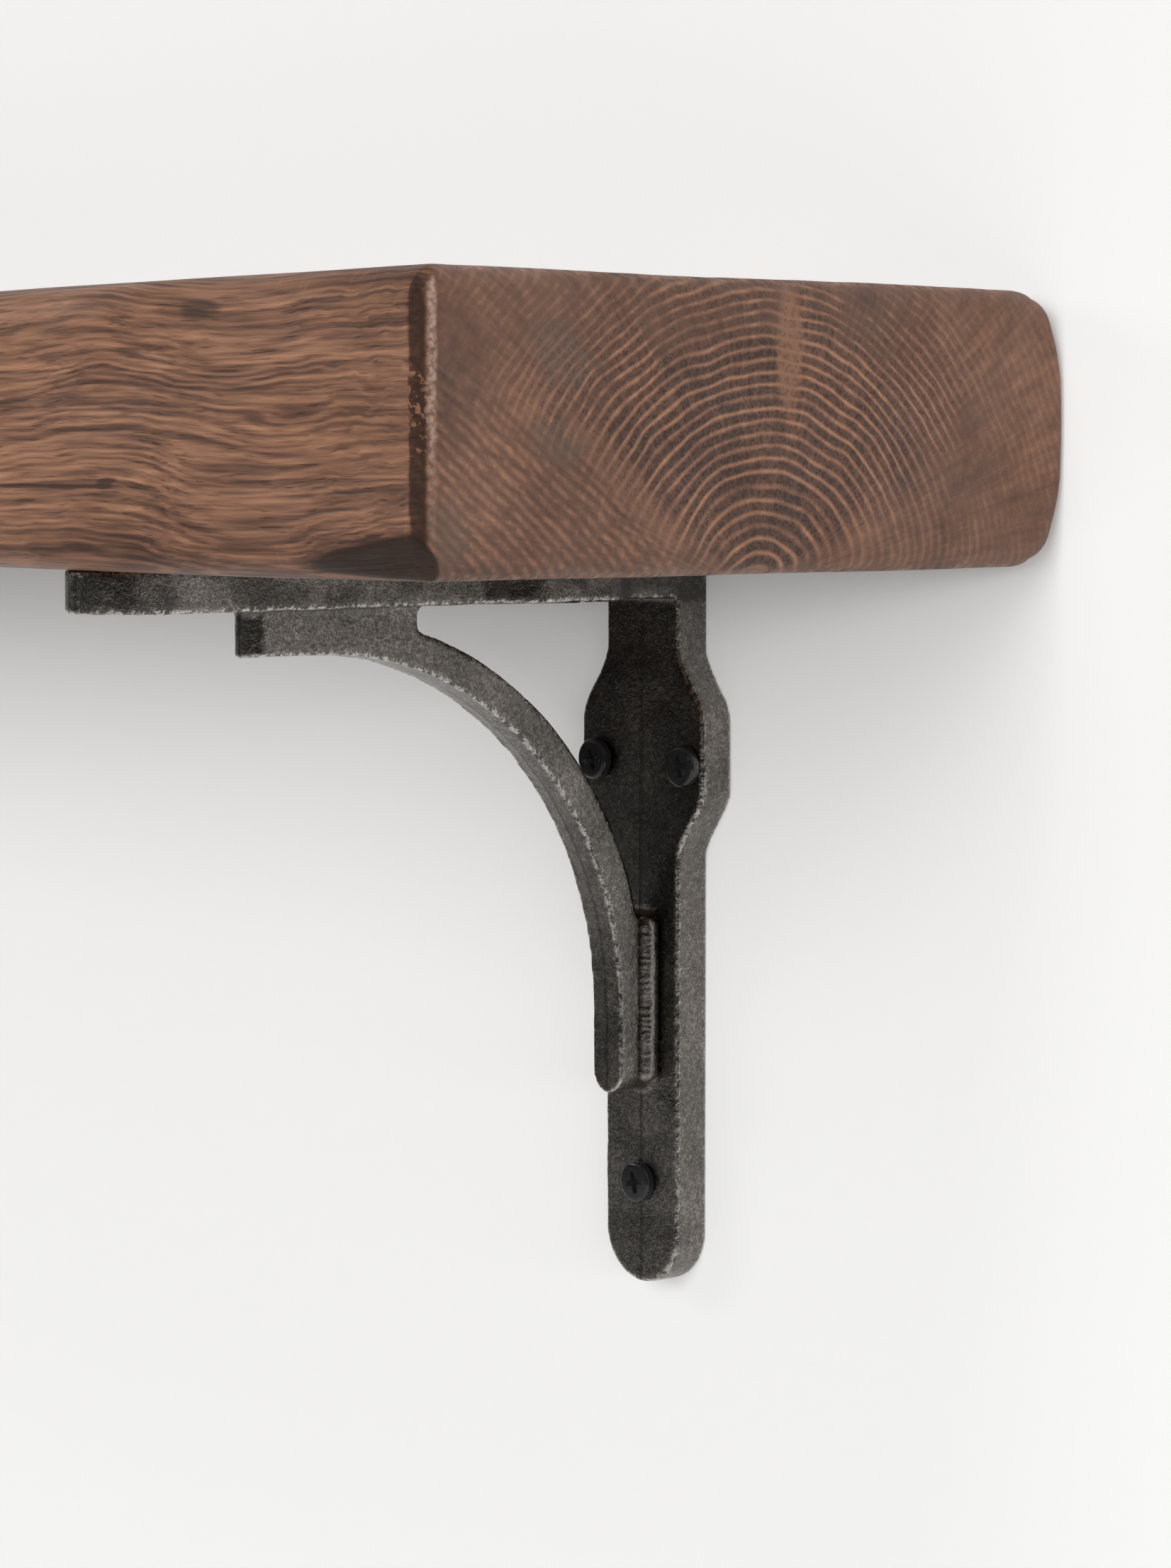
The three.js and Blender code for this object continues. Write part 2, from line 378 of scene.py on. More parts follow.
@dataclass(frozen=True)
class StainedTimber:
    """Stained hardwood: rings and rays on the ends, wavy streaks along the grain."""

    pith: tuple[float, float] = (-76.0, -28.0)
    ring_rate: float = 0.40
    ring_tightening: float = 0.0014
    saw_line_spacing: float = 1.8
    saw_line_tilt: float = 38.0
    streak_spacing: float = 1.75
    sanded_corner: tuple[float, float, float] = (50.0, 4.8, 7.6)
    end_plane: float = 305.0
    front_plane: float = -150.0
    underside: float = -25.0
    deep: Colour = (0.045, 0.022, 0.015)
    umber: Colour = (0.108, 0.051, 0.031)
    chestnut: Colour = (0.195, 0.094, 0.055)
    honey: Colour = (0.330, 0.168, 0.094)
    grey: Colour = (0.072, 0.050, 0.038)
    edge_highlight: Colour = (0.36, 0.25, 0.195)
    soaked_and_shade: Colour = (0.016, 0.008, 0.005)
    ray_band: Patch = Patch(-70.0, 13.0, 3.8, 13.5)
    slant_band: Patch = Patch(-108.0, -9.0, 20.0, 4.0, -40.0)
    end_stains: tuple[Patch, ...] = (
        Patch(-123.0, -2.0, 9.0, 4.5, -35.0),
        Patch(-144.0, -17.0, 5.0, 8.0),
        Patch(-121.0, 12.0, 9.0, 5.0, -38.0),
    )
    front_knot: Patch = Patch(219.0, -9.5, 4.0, 1.6, 12.0)
    front_stain: Patch = Patch(247.0, 19.0, 7.0, 2.2)

    def material(self) -> bpy.types.Material:
        """Make the material.

        Returns:
            The board's finish.
        """
        material, sheet = new_material("stained_timber")
        place = sheet.place()
        x, y, z = sheet.parts(place)
        face_x, face_y, _ = sheet.facing()
        end = face_x.fade(0.35, 0.75)
        end_colour, end_height = self._end_grain(sheet, place, y, z)
        side_colour, side_height = self._long_grain(sheet, place, x, y, z, face_y)
        colour = sheet.blend(end, side_colour, end_colour)
        colour = self._worked_corners(sheet, place, x, y, z, colour)
        height = side_height * (1 - end) + end_height * end
        polish = sheet.noise(place, (0.02, 0.06, 0.06), 3.0)
        sheet.surface(
            {
                "Base Color": colour,
                "Roughness": polish.fade(0.3, 0.7, 0.50, 0.66) - end * 0.04,
                "Specular IOR Level": 0.42,
                "Normal": sheet.bump(height, 0.30, 0.75),
            }
        )
        return material

    def _end_grain(
        self, sheet: NodeSheet, place: bpy.types.NodeSocket, y: Signal, z: Signal
    ) -> tuple[bpy.types.NodeSocket, Signal]:
        """Draw the growth rings, rays, pores and saw lines of an end.

        Args:
            sheet: The node sheet.
            place: The point.
            y: Its depth from the wall.
            z: Its height.

        Returns:
            The colour and the relief.
        """
        wander = sheet.noise(place, (0.004, 0.030, 0.030), 1.0)
        ripple = sheet.noise(place, (0.01, 0.11, 0.11), 1.0)
        across = (y - self.pith[0]) * 0.95
        above = z - self.pith[1]
        radius = (across * across + above * above).root()
        radius = radius + (wander - 0.5) * 4.2 + (ripple - 0.5) * 1.9
        turns = radius * self.ring_rate + radius * radius * self.ring_tightening
        band = turns.zigzag()
        year = sheet.noise(sheet.joined(turns * 1.3, 0.0, 0.0), 1.0, 0.0)
        break_up = sheet.noise(place, (0.02, 0.22, 0.22), 2.0, 0.6)
        line = band.fade(0.34, 0.98) * (year + break_up * 0.7).fade(0.5, 1.0, 0.45, 1.0)

        bearing = sheet.math("ARCTAN2", across, above)
        fan = sheet.noise(sheet.joined(bearing * 46.0, radius * 0.045, 0.0), 1.0, 3.0, 0.65)
        pores = sheet.noise(place, (0.05, 1.25, 1.25), 3.0, 0.65)
        cloud = sheet.noise(place, (0.01, 0.050, 0.050), 3.0, 0.6)
        haze = sheet.noise(place, (0.02, 0.35, 0.35), 3.0, 0.65)
        far = radius.fade(40.0, 68.0)

        slant = math.radians(self.saw_line_tilt)
        crossing = y * math.sin(slant) + z * math.cos(slant) + (ripple - 0.5) * 1.6
        rim = crossing + (cloud - 0.5) * 7.0
        corner = rim.fade(-73.0, -79.0) * (z + (cloud - 0.5) * 8.0).fade(10.0, -4.0)
        saw_line = (crossing / self.saw_line_spacing).zigzag()
        saw_vigour = haze.fade(0.35, 0.62, 0.25, 1.0)

        clear = (cloud + haze * 0.4).fade(0.58, 0.78, 0.25, 1.0)
        clear = clear.at_least(radius.fade(52.0, 40.0)) * (1 - corner * 0.7)
        core = radius.fade(70.0, 46.0) * abs(bearing).fade(1.25, 0.80)
        clear = clear * (0.30 + core * 0.70)
        relief = (line - 0.30) * clear * (1 - far * 0.45)
        pitted = pores.fade(0.50, 0.64) * (1 - line) * clear
        tone = 0.318 + relief * 0.60 - pitted * 0.17 + (cloud - 0.5) * 0.72
        tone = tone + (fan - 0.5) * 0.50 + (haze - 0.5) * 0.50 + (pores - 0.5) * 0.30
        tone = tone + y.fade(-60.0, -12.0) * 0.03
        tone = tone + corner * saw_vigour * (saw_line.fade(0.1, 0.9) - 0.5) * 0.30
        ray = self.ray_band.mask(y, z)
        slanting = self.slant_band.mask(y, z + (haze - 0.5) * 6.0)
        tone = tone + ray * (0.56 - tone) * 0.85 + slanting * (0.52 - tone) * 0.5
        drifted = (y + (haze - 0.5) * 14.0, z + (cloud - 0.5) * 16.0)
        stain = self._joined_masks(self.end_stains, *drifted)
        stops = ((0.0, self.deep), (0.30, self.umber), (0.58, self.chestnut), (0.95, self.honey))
        colour = sheet.blend(stain * 0.45, sheet.ramp(tone, stops), self.grey)
        height = line * clear * 0.5 - pitted * 1.2 + (fan - 0.5) * 0.5 + corner * saw_line * 0.3
        return colour, height + (pores - 0.5) * 0.35

    def _long_grain(
        self,
        sheet: NodeSheet,
        place: bpy.types.NodeSocket,
        x: Signal,
        y: Signal,
        z: Signal,
        face_y: Signal,
    ) -> tuple[bpy.types.NodeSocket, Signal]:
        """Draw the streaks, pores and flecks of the four long faces.

        Args:
            sheet: The node sheet.
            place: The point.
            x: Its place along the board.
            y: Its depth from the wall.
            z: Its height.
            face_y: The normal's part out of the wall.

        Returns:
            The colour and the relief.
        """
        roll = (sheet.noise(place, (0.0085, 0.016, 0.016), 1.0) - 0.5) * 15.0
        quiver = (sheet.noise(place, (0.040, 0.09, 0.09), 1.0) - 0.5) * 2.0
        front = face_y.fade(-0.5, -0.8)
        near_end = abs(x).fade(self.end_plane - 42.0, self.end_plane - 6.0)
        churn = (sheet.noise(place, (0.10, 0.17, 0.17), 2.0) - 0.5) * 2.4 * near_end
        lift = roll + quiver + churn
        wavy = sheet.joined(x, y + lift, z + lift)
        streak = sheet.noise(wavy, (0.022, 0.55, 0.55), 3.0, 0.6)
        thread = sheet.noise(wavy, (0.055, 1.5, 1.5), 2.0, 0.6)
        pore = sheet.noise(wavy, (0.10, 2.2, 2.2), 1.0)
        sweep = sheet.noise(wavy, (0.004, 0.12, 0.12), 2.0, 0.5)
        blotch = sheet.noise(place, (0.020, 0.045, 0.045), 3.0, 0.55)
        fleck = sheet.noise(place, (0.75, 0.20, 0.20), 1.0).fade(0.60, 0.72)
        flecked = sheet.noise(place, (0.016, 0.03, 0.03), 1.0).fade(0.52, 0.62)

        phase = sheet.noise(wavy, (0.014, 0.16, 0.16), 2.0) * 5.0
        comb = ((y + z + lift * 2.0) / self.streak_spacing + phase).zigzag()
        comb = comb.fade(0.15, 0.85) - 0.5

        tone = 0.49 + (streak - 0.5) * 1.10 + (sweep - 0.5) * 0.60 + (thread - 0.5) * 0.85
        tone = tone + comb * blotch.fade(0.35, 0.65, 0.30, 0.12)
        # Painted shade: the front face darkens towards its lower edge.
        tone = tone - front * z.fade(-8.0, -24.0) * 0.10
        tone = tone + (blotch - 0.5) * 0.55 - near_end * 0.05
        dashes = pore.fade(0.60, 0.72) * 0.20
        tone = tone - dashes + fleck * flecked * 0.14
        uneven = z + (streak - 0.5) * 6.0
        marks = self.front_knot.mask(x, uneven) * 0.35 + self.front_stain.mask(x, uneven) * 0.26
        crack = (z + 10.2 + quiver * 0.6).near(0.0, 0.12, 0.4) * x.near(203.0, 15.0, 6.0)
        tone = tone - front * (marks + crack * 0.5)
        colour = sheet.ramp(
            tone, ((0.05, self.deep), (0.35, self.umber), (0.60, self.chestnut), (0.98, self.honey))
        )
        height = (streak - 0.5) * 0.9 + (thread - 0.5) * 0.7 - dashes * 1.6
        return colour, height - front * crack * 0.6

    def _worked_corners(
        self,
        sheet: NodeSheet,
        place: bpy.types.NodeSocket,
        x: Signal,
        y: Signal,
        z: Signal,
        colour: bpy.types.NodeSocket,
    ) -> bpy.types.NodeSocket:
        """Colour the corners: a dark band down each front upright corner, painted shade on the
        down-facing sanded flats, and a painted highlight along the end's front edge.

        Args:
            sheet: The node sheet.
            place: The point.
            x: Its place along the board.
            y: Its depth from the wall.
            z: Its height.
            colour: The colour so far.

        Returns:
            The colour with its corners.
        """
        chips = sheet.noise(place, (0.5, 0.5, 0.22), 2.0)
        crumbs = sheet.noise(place, (0.9, 0.9, 0.9), 2.0, 0.6)
        from_end = self.end_plane - abs(x) + (chips - 0.5) * 1.8
        from_front = y - self.front_plane + (chips - 0.5) * 1.4
        strip = from_end.near(2.2, 0.9, 0.9) * from_front.fade(2.8, 1.4)
        glint = crumbs.fade(0.52, 0.60) * z.near(2.0, 5.0, 4.0)
        # Painted highlight: a pale band along the end's front upright edge, stronger higher up.
        pale = from_front.near(2.4, 0.3, 0.9) * from_end.fade(1.6, 0.7)
        pale = pale * crumbs.fade(0.35, 0.65, 0.15, 0.9)
        pale = pale * (z + chips * 10.0).fade(-15.0, 10.0, 0.15, 0.75)
        # Painted shade on the down-facing sanded flats at the front-bottom corners; the same dark
        # colour also fills the band down each front upright corner.
        along, back, up = self.sanded_corner
        reach = (self.end_plane - abs(x)) / along + (y - self.front_plane) / back
        facet = (reach + (z - self.underside) / up).fade(1.30, 1.14)
        colour = sheet.blend(pale, colour, self.edge_highlight)
        colour = sheet.blend(strip * (1 - glint) * 0.85, colour, self.soaked_and_shade)
        return sheet.blend(facet * 0.92, colour, self.soaked_and_shade)

    @staticmethod
    def _joined_masks(patches: Iterable[Patch], along: Signal, up: Signal) -> Signal:
        """Give the strongest of several patches.

        Args:
            patches: The patches.
            along: The coordinate along the face.
            up: The height.

        Returns:
            The mask.
        """
        masks = [patch.mask(along, up) for patch in patches]
        joined = masks[0]
        for mask in masks[1:]:
            joined = joined.at_least(mask)
        return joined


@dataclass(frozen=True)
class CastIron:
    """Raw grey cast iron under wax: sand texture, a parting line, bright edges, painted shade on
    the upper leg front and the arm's sides.
    """

    name: str = "cast_iron"
    bracket_offset: float = 200.0
    dark: Colour = (0.072, 0.067, 0.060)
    mid: Colour = (0.172, 0.159, 0.144)
    bright: Colour = (0.38, 0.355, 0.325)
    polished: Colour = (0.74, 0.71, 0.67)
    line_half_width: float = 0.22

    def material(self) -> bpy.types.Material:
        """Make the material.

        Returns:
            The iron's skin.
        """
        material, sheet = new_material(self.name)
        place = sheet.place()
        x, y, z = sheet.parts(place)
        face_x, face_y, _ = sheet.facing()
        sand = sheet.noise(place, 2.3, 2.0, 0.6)
        coarse = sheet.noise(place, 0.75, 2.0, 0.55)
        patch = sheet.noise(place, 0.085, 3.0, 0.55)
        bend = sheet.node("ShaderNodeAttribute", {"attribute_name": EDGE_ATTRIBUTE})
        curve = Signal(sheet, bend.outputs["Fac"])
        worn = (curve * coarse.fade(0.3, 0.6, 0.35, 1.0) + (sand - 0.5) * 0.8).fade(0.22, 0.62)
        sunk = curve.fade(-0.1, -0.6)
        from_middle = abs(abs(x) - self.bracket_offset) + (coarse - 0.5) * 0.5
        seam = from_middle.fade(self.line_half_width + 0.4, self.line_half_width)
        seam = seam * face_x.fade(0.4, 0.15)

        # Painted shade and light: the leg's front darkens towards the top, in the board's shadow,
        # and lightens low down; the arm's sides are darkened.
        leg_front = face_y.fade(-0.6, -0.9) * y.near(-8.0, 2.5, 1.5)
        leg_front_shade = leg_front * z.fade(-140.0, -70.0, -0.10, 0.24)
        arm_side_shade = z.fade(-34.5, -33.0) * face_x.fade(0.6, 0.9)
        tone = 0.45 + (sand - 0.5) * 1.5 + (coarse - 0.5) * 0.8 + (patch - 0.5) * 0.8
        tone = tone - leg_front_shade - arm_side_shade * patch.fade(0.35, 0.65, 0.34, 0.02)
        colour = sheet.ramp(tone, ((0.0, self.dark), (0.5, self.mid), (1.0, self.bright)))
        colour = sheet.blend(worn * 0.7, colour, self.polished)
        colour = sheet.blend(seam * 0.6 + sunk * 0.35, colour, self.dark)
        height = (sand - 0.5) * 1.0 + (coarse - 0.5) * 1.3 - seam * 0.8
        sheet.surface(
            {
                "Base Color": colour,
                "Metallic": 1.0,
                "Roughness": patch.fade(0.3, 0.7, 0.27, 0.39) - worn * 0.04,
                "Normal": sheet.bump(height, 0.16, 0.65),
            }
        )
        return material


@dataclass(frozen=True)
class BlackScrewFinish:
    """Glossy black coating on the screws, thin at its grazed edges."""

    coat: Colour = (0.011, 0.011, 0.012)
    rubbed: Colour = (0.10, 0.10, 0.10)

    def material(self) -> bpy.types.Material:
        """Make the material.

        Returns:
            The screws' finish.
        """
        material, sheet = new_material("black_screw_finish")
        place = sheet.place()
        grain = sheet.noise(place, 1.6, 2.0, 0.6)
        smear = sheet.noise(place, 0.5, 2.0)
        rubbed = (grain * smear).fade(0.34, 0.46)
        sheet.surface(
            {
                "Base Color": sheet.blend(rubbed * 0.6, self.coat, self.rubbed),
                "Metallic": rubbed * 0.5,
                "Roughness": grain.fade(0.3, 0.7, 0.10, 0.20),
                "Specular IOR Level": 0.6,
                "Normal": sheet.bump(grain, 0.03, 0.5),
            }
        )
        return material


@dataclass(frozen=True)
class NylonFinish:
    """Pale grey moulded nylon."""

    pale: Colour = (0.44, 0.44, 0.42)
    deep: Colour = (0.33, 0.33, 0.315)

    def material(self) -> bpy.types.Material:
        """Make the material.

        Returns:
            The plugs' finish.
        """
        material, sheet = new_material("moulded_nylon")
        place = sheet.place()
        haze = sheet.noise(place, 0.5, 3.0)
        grain = sheet.noise(place, 4.0, 2.0)
        sheet.surface(
            {
                "Base Color": sheet.blend(haze.fade(0.3, 0.7), self.deep, self.pale),
                "Roughness": grain.fade(0.3, 0.7, 0.36, 0.50),
                "Subsurface Weight": 0.1,
                "Subsurface Scale": 0.002,
                "Normal": sheet.bump(grain, 0.02, 0.5),
            }
        )
        return material


@dataclass(frozen=True)
class PaintedPlaster:
    """The matt white of the room's wall and floor, which can be seen through from behind."""

    name: str = "painted_plaster"
    paint: Colour = (0.63, 0.63, 0.625)
    glow: Colour = (0.14, 0.14, 0.1395)

    def material(self) -> bpy.types.Material:
        """Make the material.

        Returns:
            The room's paint.
        """
        material, sheet = new_material(self.name)
        place = sheet.place()
        stipple = sheet.noise(place, 0.35, 3.0)
        tint = sheet.noise(place, 0.004, 2.0)
        pale = tuple(0.985 * part for part in self.paint)
        paint = sheet.node(
            "ShaderNodeBsdfPrincipled",
            None,
            {
                "Base Color": sheet.blend(tint, pale, self.paint),
                "Roughness": 0.9,
                "Specular IOR Level": 0.2,
                "Emission Color": (*self.glow, 1.0),
                "Emission Strength": 1.0,
                "Normal": sheet.bump(stipple, 0.08, 0.25),
            },
        )
        behind = sheet.node("ShaderNodeNewGeometry").outputs["Backfacing"]
        clear = sheet.node("ShaderNodeBsdfTransparent")
        mixed = sheet.node(
            "ShaderNodeMixShader", None, {0: behind, 1: paint.outputs[0], 2: clear.outputs[0]}
        )
        sheet.node("ShaderNodeOutputMaterial", None, {"Surface": mixed.outputs[0]})
        return material


# ------------------------------------------------------------------------------------ mesh work


def slice_along(bm: BMesh, axis: Vector, places: Iterable[float]) -> None:
    """Cut every face of a mesh with planes across an axis.

    Args:
        bm: The mesh.
        axis: The direction the planes face.
        places: The planes' distances from the origin, in metres.
    """
    for distance in places:
        everything = bm.verts[:] + bm.edges[:] + bm.faces[:]
        bmesh.ops.bisect_plane(
            bm, geom=everything, dist=CUT_DISTANCE, plane_co=axis * distance, plane_no=axis
        )


def inward_steps(half: float, near_edge: Sequence[float], spacing: float) -> list[float]:
    """Place cuts from both ends of a length.

    Args:
        half: Half of the length, which is centred on 0.
        near_edge: Distances in from each end, in millimetres.
        spacing: The largest gap between the cuts in the middle.

    Returns:
        The places, in metres.
    """
    inner = half - max(near_edge) * MM
    count = max(1, math.ceil(2 * inner / spacing))
    middle = [-inner + 2 * inner * i / count for i in range(count + 1)]
    outer = [half - step * MM for step in near_edge[:-1]]
    return [-place for place in outer] + middle + outer


def spun(profile: Sequence[tuple[float, float]], steps: int, closed: bool = False) -> BMesh:
    """Turn a profile right round the Z axis.

    Args:
        profile: The (radius, height) points, in metres.
        steps: How many faces go round.
        closed: Whether the last point joins the first.

    Returns:
        The closed, outward-facing mesh.
    """
    bm = bmesh.new()
    verts = [bm.verts.new((radius, 0.0, height)) for radius, height in profile]
    pairs = list(zip(verts, verts[1:]))
    if closed:
        pairs.append((verts[-1], verts[0]))
    edges = [bm.edges.new(pair) for pair in pairs]
    bmesh.ops.spin(
        bm,
        geom=verts + edges,
        cent=(0, 0, 0),
        axis=(0, 0, 1),
        angle=2 * math.pi,
        steps=steps,
        use_merge=True,
    )
    bmesh.ops.remove_doubles(bm, verts=bm.verts[:], dist=MERGE_DISTANCE)
    bmesh.ops.recalc_face_normals(bm, faces=bm.faces[:])
    return bm


def arc(
    centre: tuple[float, float], radius: float, start: float, end: float, steps: int
) -> list[tuple[float, float]]:
    """Give points along an arc.

    Args:
        centre: The arc's centre.
        radius: Its radius.
        start: Its first angle, in degrees from the first axis.
        end: Its last angle.
        steps: How many steps there are between them.

    Returns:
        The points.
    """
    angles = [math.radians(start + (end - start) * i / steps) for i in range(steps + 1)]
    return [
        (centre[0] + radius * math.cos(angle), centre[1] + radius * math.sin(angle))
        for angle in angles
    ]


def poured(bm: BMesh, name: str) -> bpy.types.Object:
    """Turn a bmesh into an object in the scene.

    Args:
        bm: The mesh, which is used up.
        name: The object's name.

    Returns:
        The object.
    """
    mesh = bpy.data.meshes.new(name)
    bm.to_mesh(mesh)
    bm.free()
    piece = bpy.data.objects.new(name, mesh)
    bpy.context.scene.collection.objects.link(piece)
    return piece


def settled(piece: bpy.types.Object) -> bpy.types.Object:
    """Replace a piece's mesh with what its modifiers make of it.

    Args:
        piece: The piece.

    Returns:
        The same piece, without modifiers.
    """
    graph = bpy.context.evaluated_depsgraph_get()
    graph.update()
    shaped = bpy.data.meshes.new_from_object(piece.evaluated_get(graph))
    piece.modifiers.clear()
    rough, piece.data = piece.data, shaped
    shaped.name = piece.name
    bpy.data.meshes.remove(rough)
    return piece


def carved(bm: BMesh, cutters: Sequence[BMesh]) -> BMesh:
    """Cut shapes out of a mesh.

    Args:
        bm: The closed mesh.
        cutters: The closed shapes to take away.

    Returns:
        The cut mesh.
    """
    body = poured(bm, "uncut")
    tools = [poured(cutter, "cutter") for cutter in cutters]
    for tool in tools:
        cut = body.modifiers.new("cut", "BOOLEAN")
        cut.operation = "DIFFERENCE"
        cut.solver = "EXACT"
        cut.object = tool
    settled(body)
    result = bmesh.new()
    result.from_mesh(body.data)
    for scrap in [body, *tools]:
        mesh = scrap.data
        bpy.data.objects.remove(scrap)
        bpy.data.meshes.remove(mesh)
    return result


def tapered_block(top: Vector, bottom: Vector, depth: float, overshoot: float) -> BMesh:
    """Make a block that narrows downwards from just above Z = 0.

    Args:
        top: Its X and Y sizes at its top.
        bottom: Its X and Y sizes at its foot.
        depth: How far down the foot is.
        overshoot: How far it reaches above Z = 0.

    Returns:
        The block.
    """
    bm = bmesh.new()
    bmesh.ops.create_cube(bm, size=1.0)
    for vert in bm.verts:
        size = top if vert.co.z > 0 else bottom
        vert.co.x *= size.x
        vert.co.y *= size.y
        vert.co.z = overshoot if vert.co.z > 0 else -depth
    return bm


def mark_curvature(mesh: bpy.types.Mesh, passes: int = 2, gain: float = 4.5) -> None:
    """Store how sharply the surface bends: 1 on outward edges, -1 in inward ones.

    Args:
        mesh: The evenly divided mesh.
        passes: How often each vertex is averaged with its neighbours.
        gain: How far the bends are scaled up before they are cut off at 1.
    """
    bm = bmesh.new()
    bm.from_mesh(mesh)
    bends = [0.0] * len(bm.verts)
    for vert in bm.verts:
        spokes = [edge.other_vert(vert).co - vert.co for edge in vert.link_edges]
        reach = sum(spoke.length for spoke in spokes)
        bends[vert.index] = -sum(spoke.dot(vert.normal) for spoke in spokes) / max(reach, 1e-9)
    for _ in range(passes):
        bends = [
            0.4 * bends[vert.index]
            + 0.6 * sum(bends[edge.other_vert(vert).index] for edge in vert.link_edges)
            / max(1, len(vert.link_edges))
            for vert in bm.verts
        ]
    bm.free()
    attribute = mesh.attributes.new(EDGE_ATTRIBUTE, "FLOAT", "POINT")
    attribute.data.foreach_set("value", [max(-1.0, min(1.0, gain * bend)) for bend in bends])


def handed_over(
    piece: bpy.types.Object,
    material: bpy.types.Material,
    node: str | None = None,
    crease: float = 40.0,
) -> bpy.types.Object:
    """Shade a finished piece, put it on its body and hide the CAD node it replaces.

    Args:
        piece: The piece, at the origin.
        material: Its material.
        node: The CAD node it replaces, if any.
        crease: Edges sharper than this many degrees stay crisp.

    Returns:
        The piece.
    """
    piece.data.materials.clear()
    piece.data.materials.append(material)
    piece.data.shade_smooth()
    piece.data.set_sharp_from_angle(angle=math.radians(crease))
    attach(piece, BODY)
    if node:
        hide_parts(node)
    LOG.info("%s: %d faces", piece.name, len(piece.data.polygons))
    return piece


# --------------------------------------------------------------------------------- sub-assemblies


@dataclass(frozen=True)
class CornerCut:
    """A flat that was sanded across one corner of the board, in millimetres."""

    side: int
    front: int
    top: int
    along: float
    back: float
    up: float

    def plane(self, low: Vector, high: Vector) -> tuple[Vector, Vector]:
        """Find the flat.

        Args:
            low: The board's lowest corner.
            high: Its highest corner.

        Returns:
            A point on the flat and its outward normal.
        """
        corner = Vector(
            (
                high.x if self.side > 0 else low.x,
                low.y if self.front > 0 else high.y,
                high.z if self.top > 0 else low.z,
            )
        )
        normal = Vector(
            (self.side / self.along, -self.front / self.back, self.top / self.up)
        ).normalized()
        point = corner - Vector((self.side * self.along * MM, 0.0, 0.0))
        return point, normal


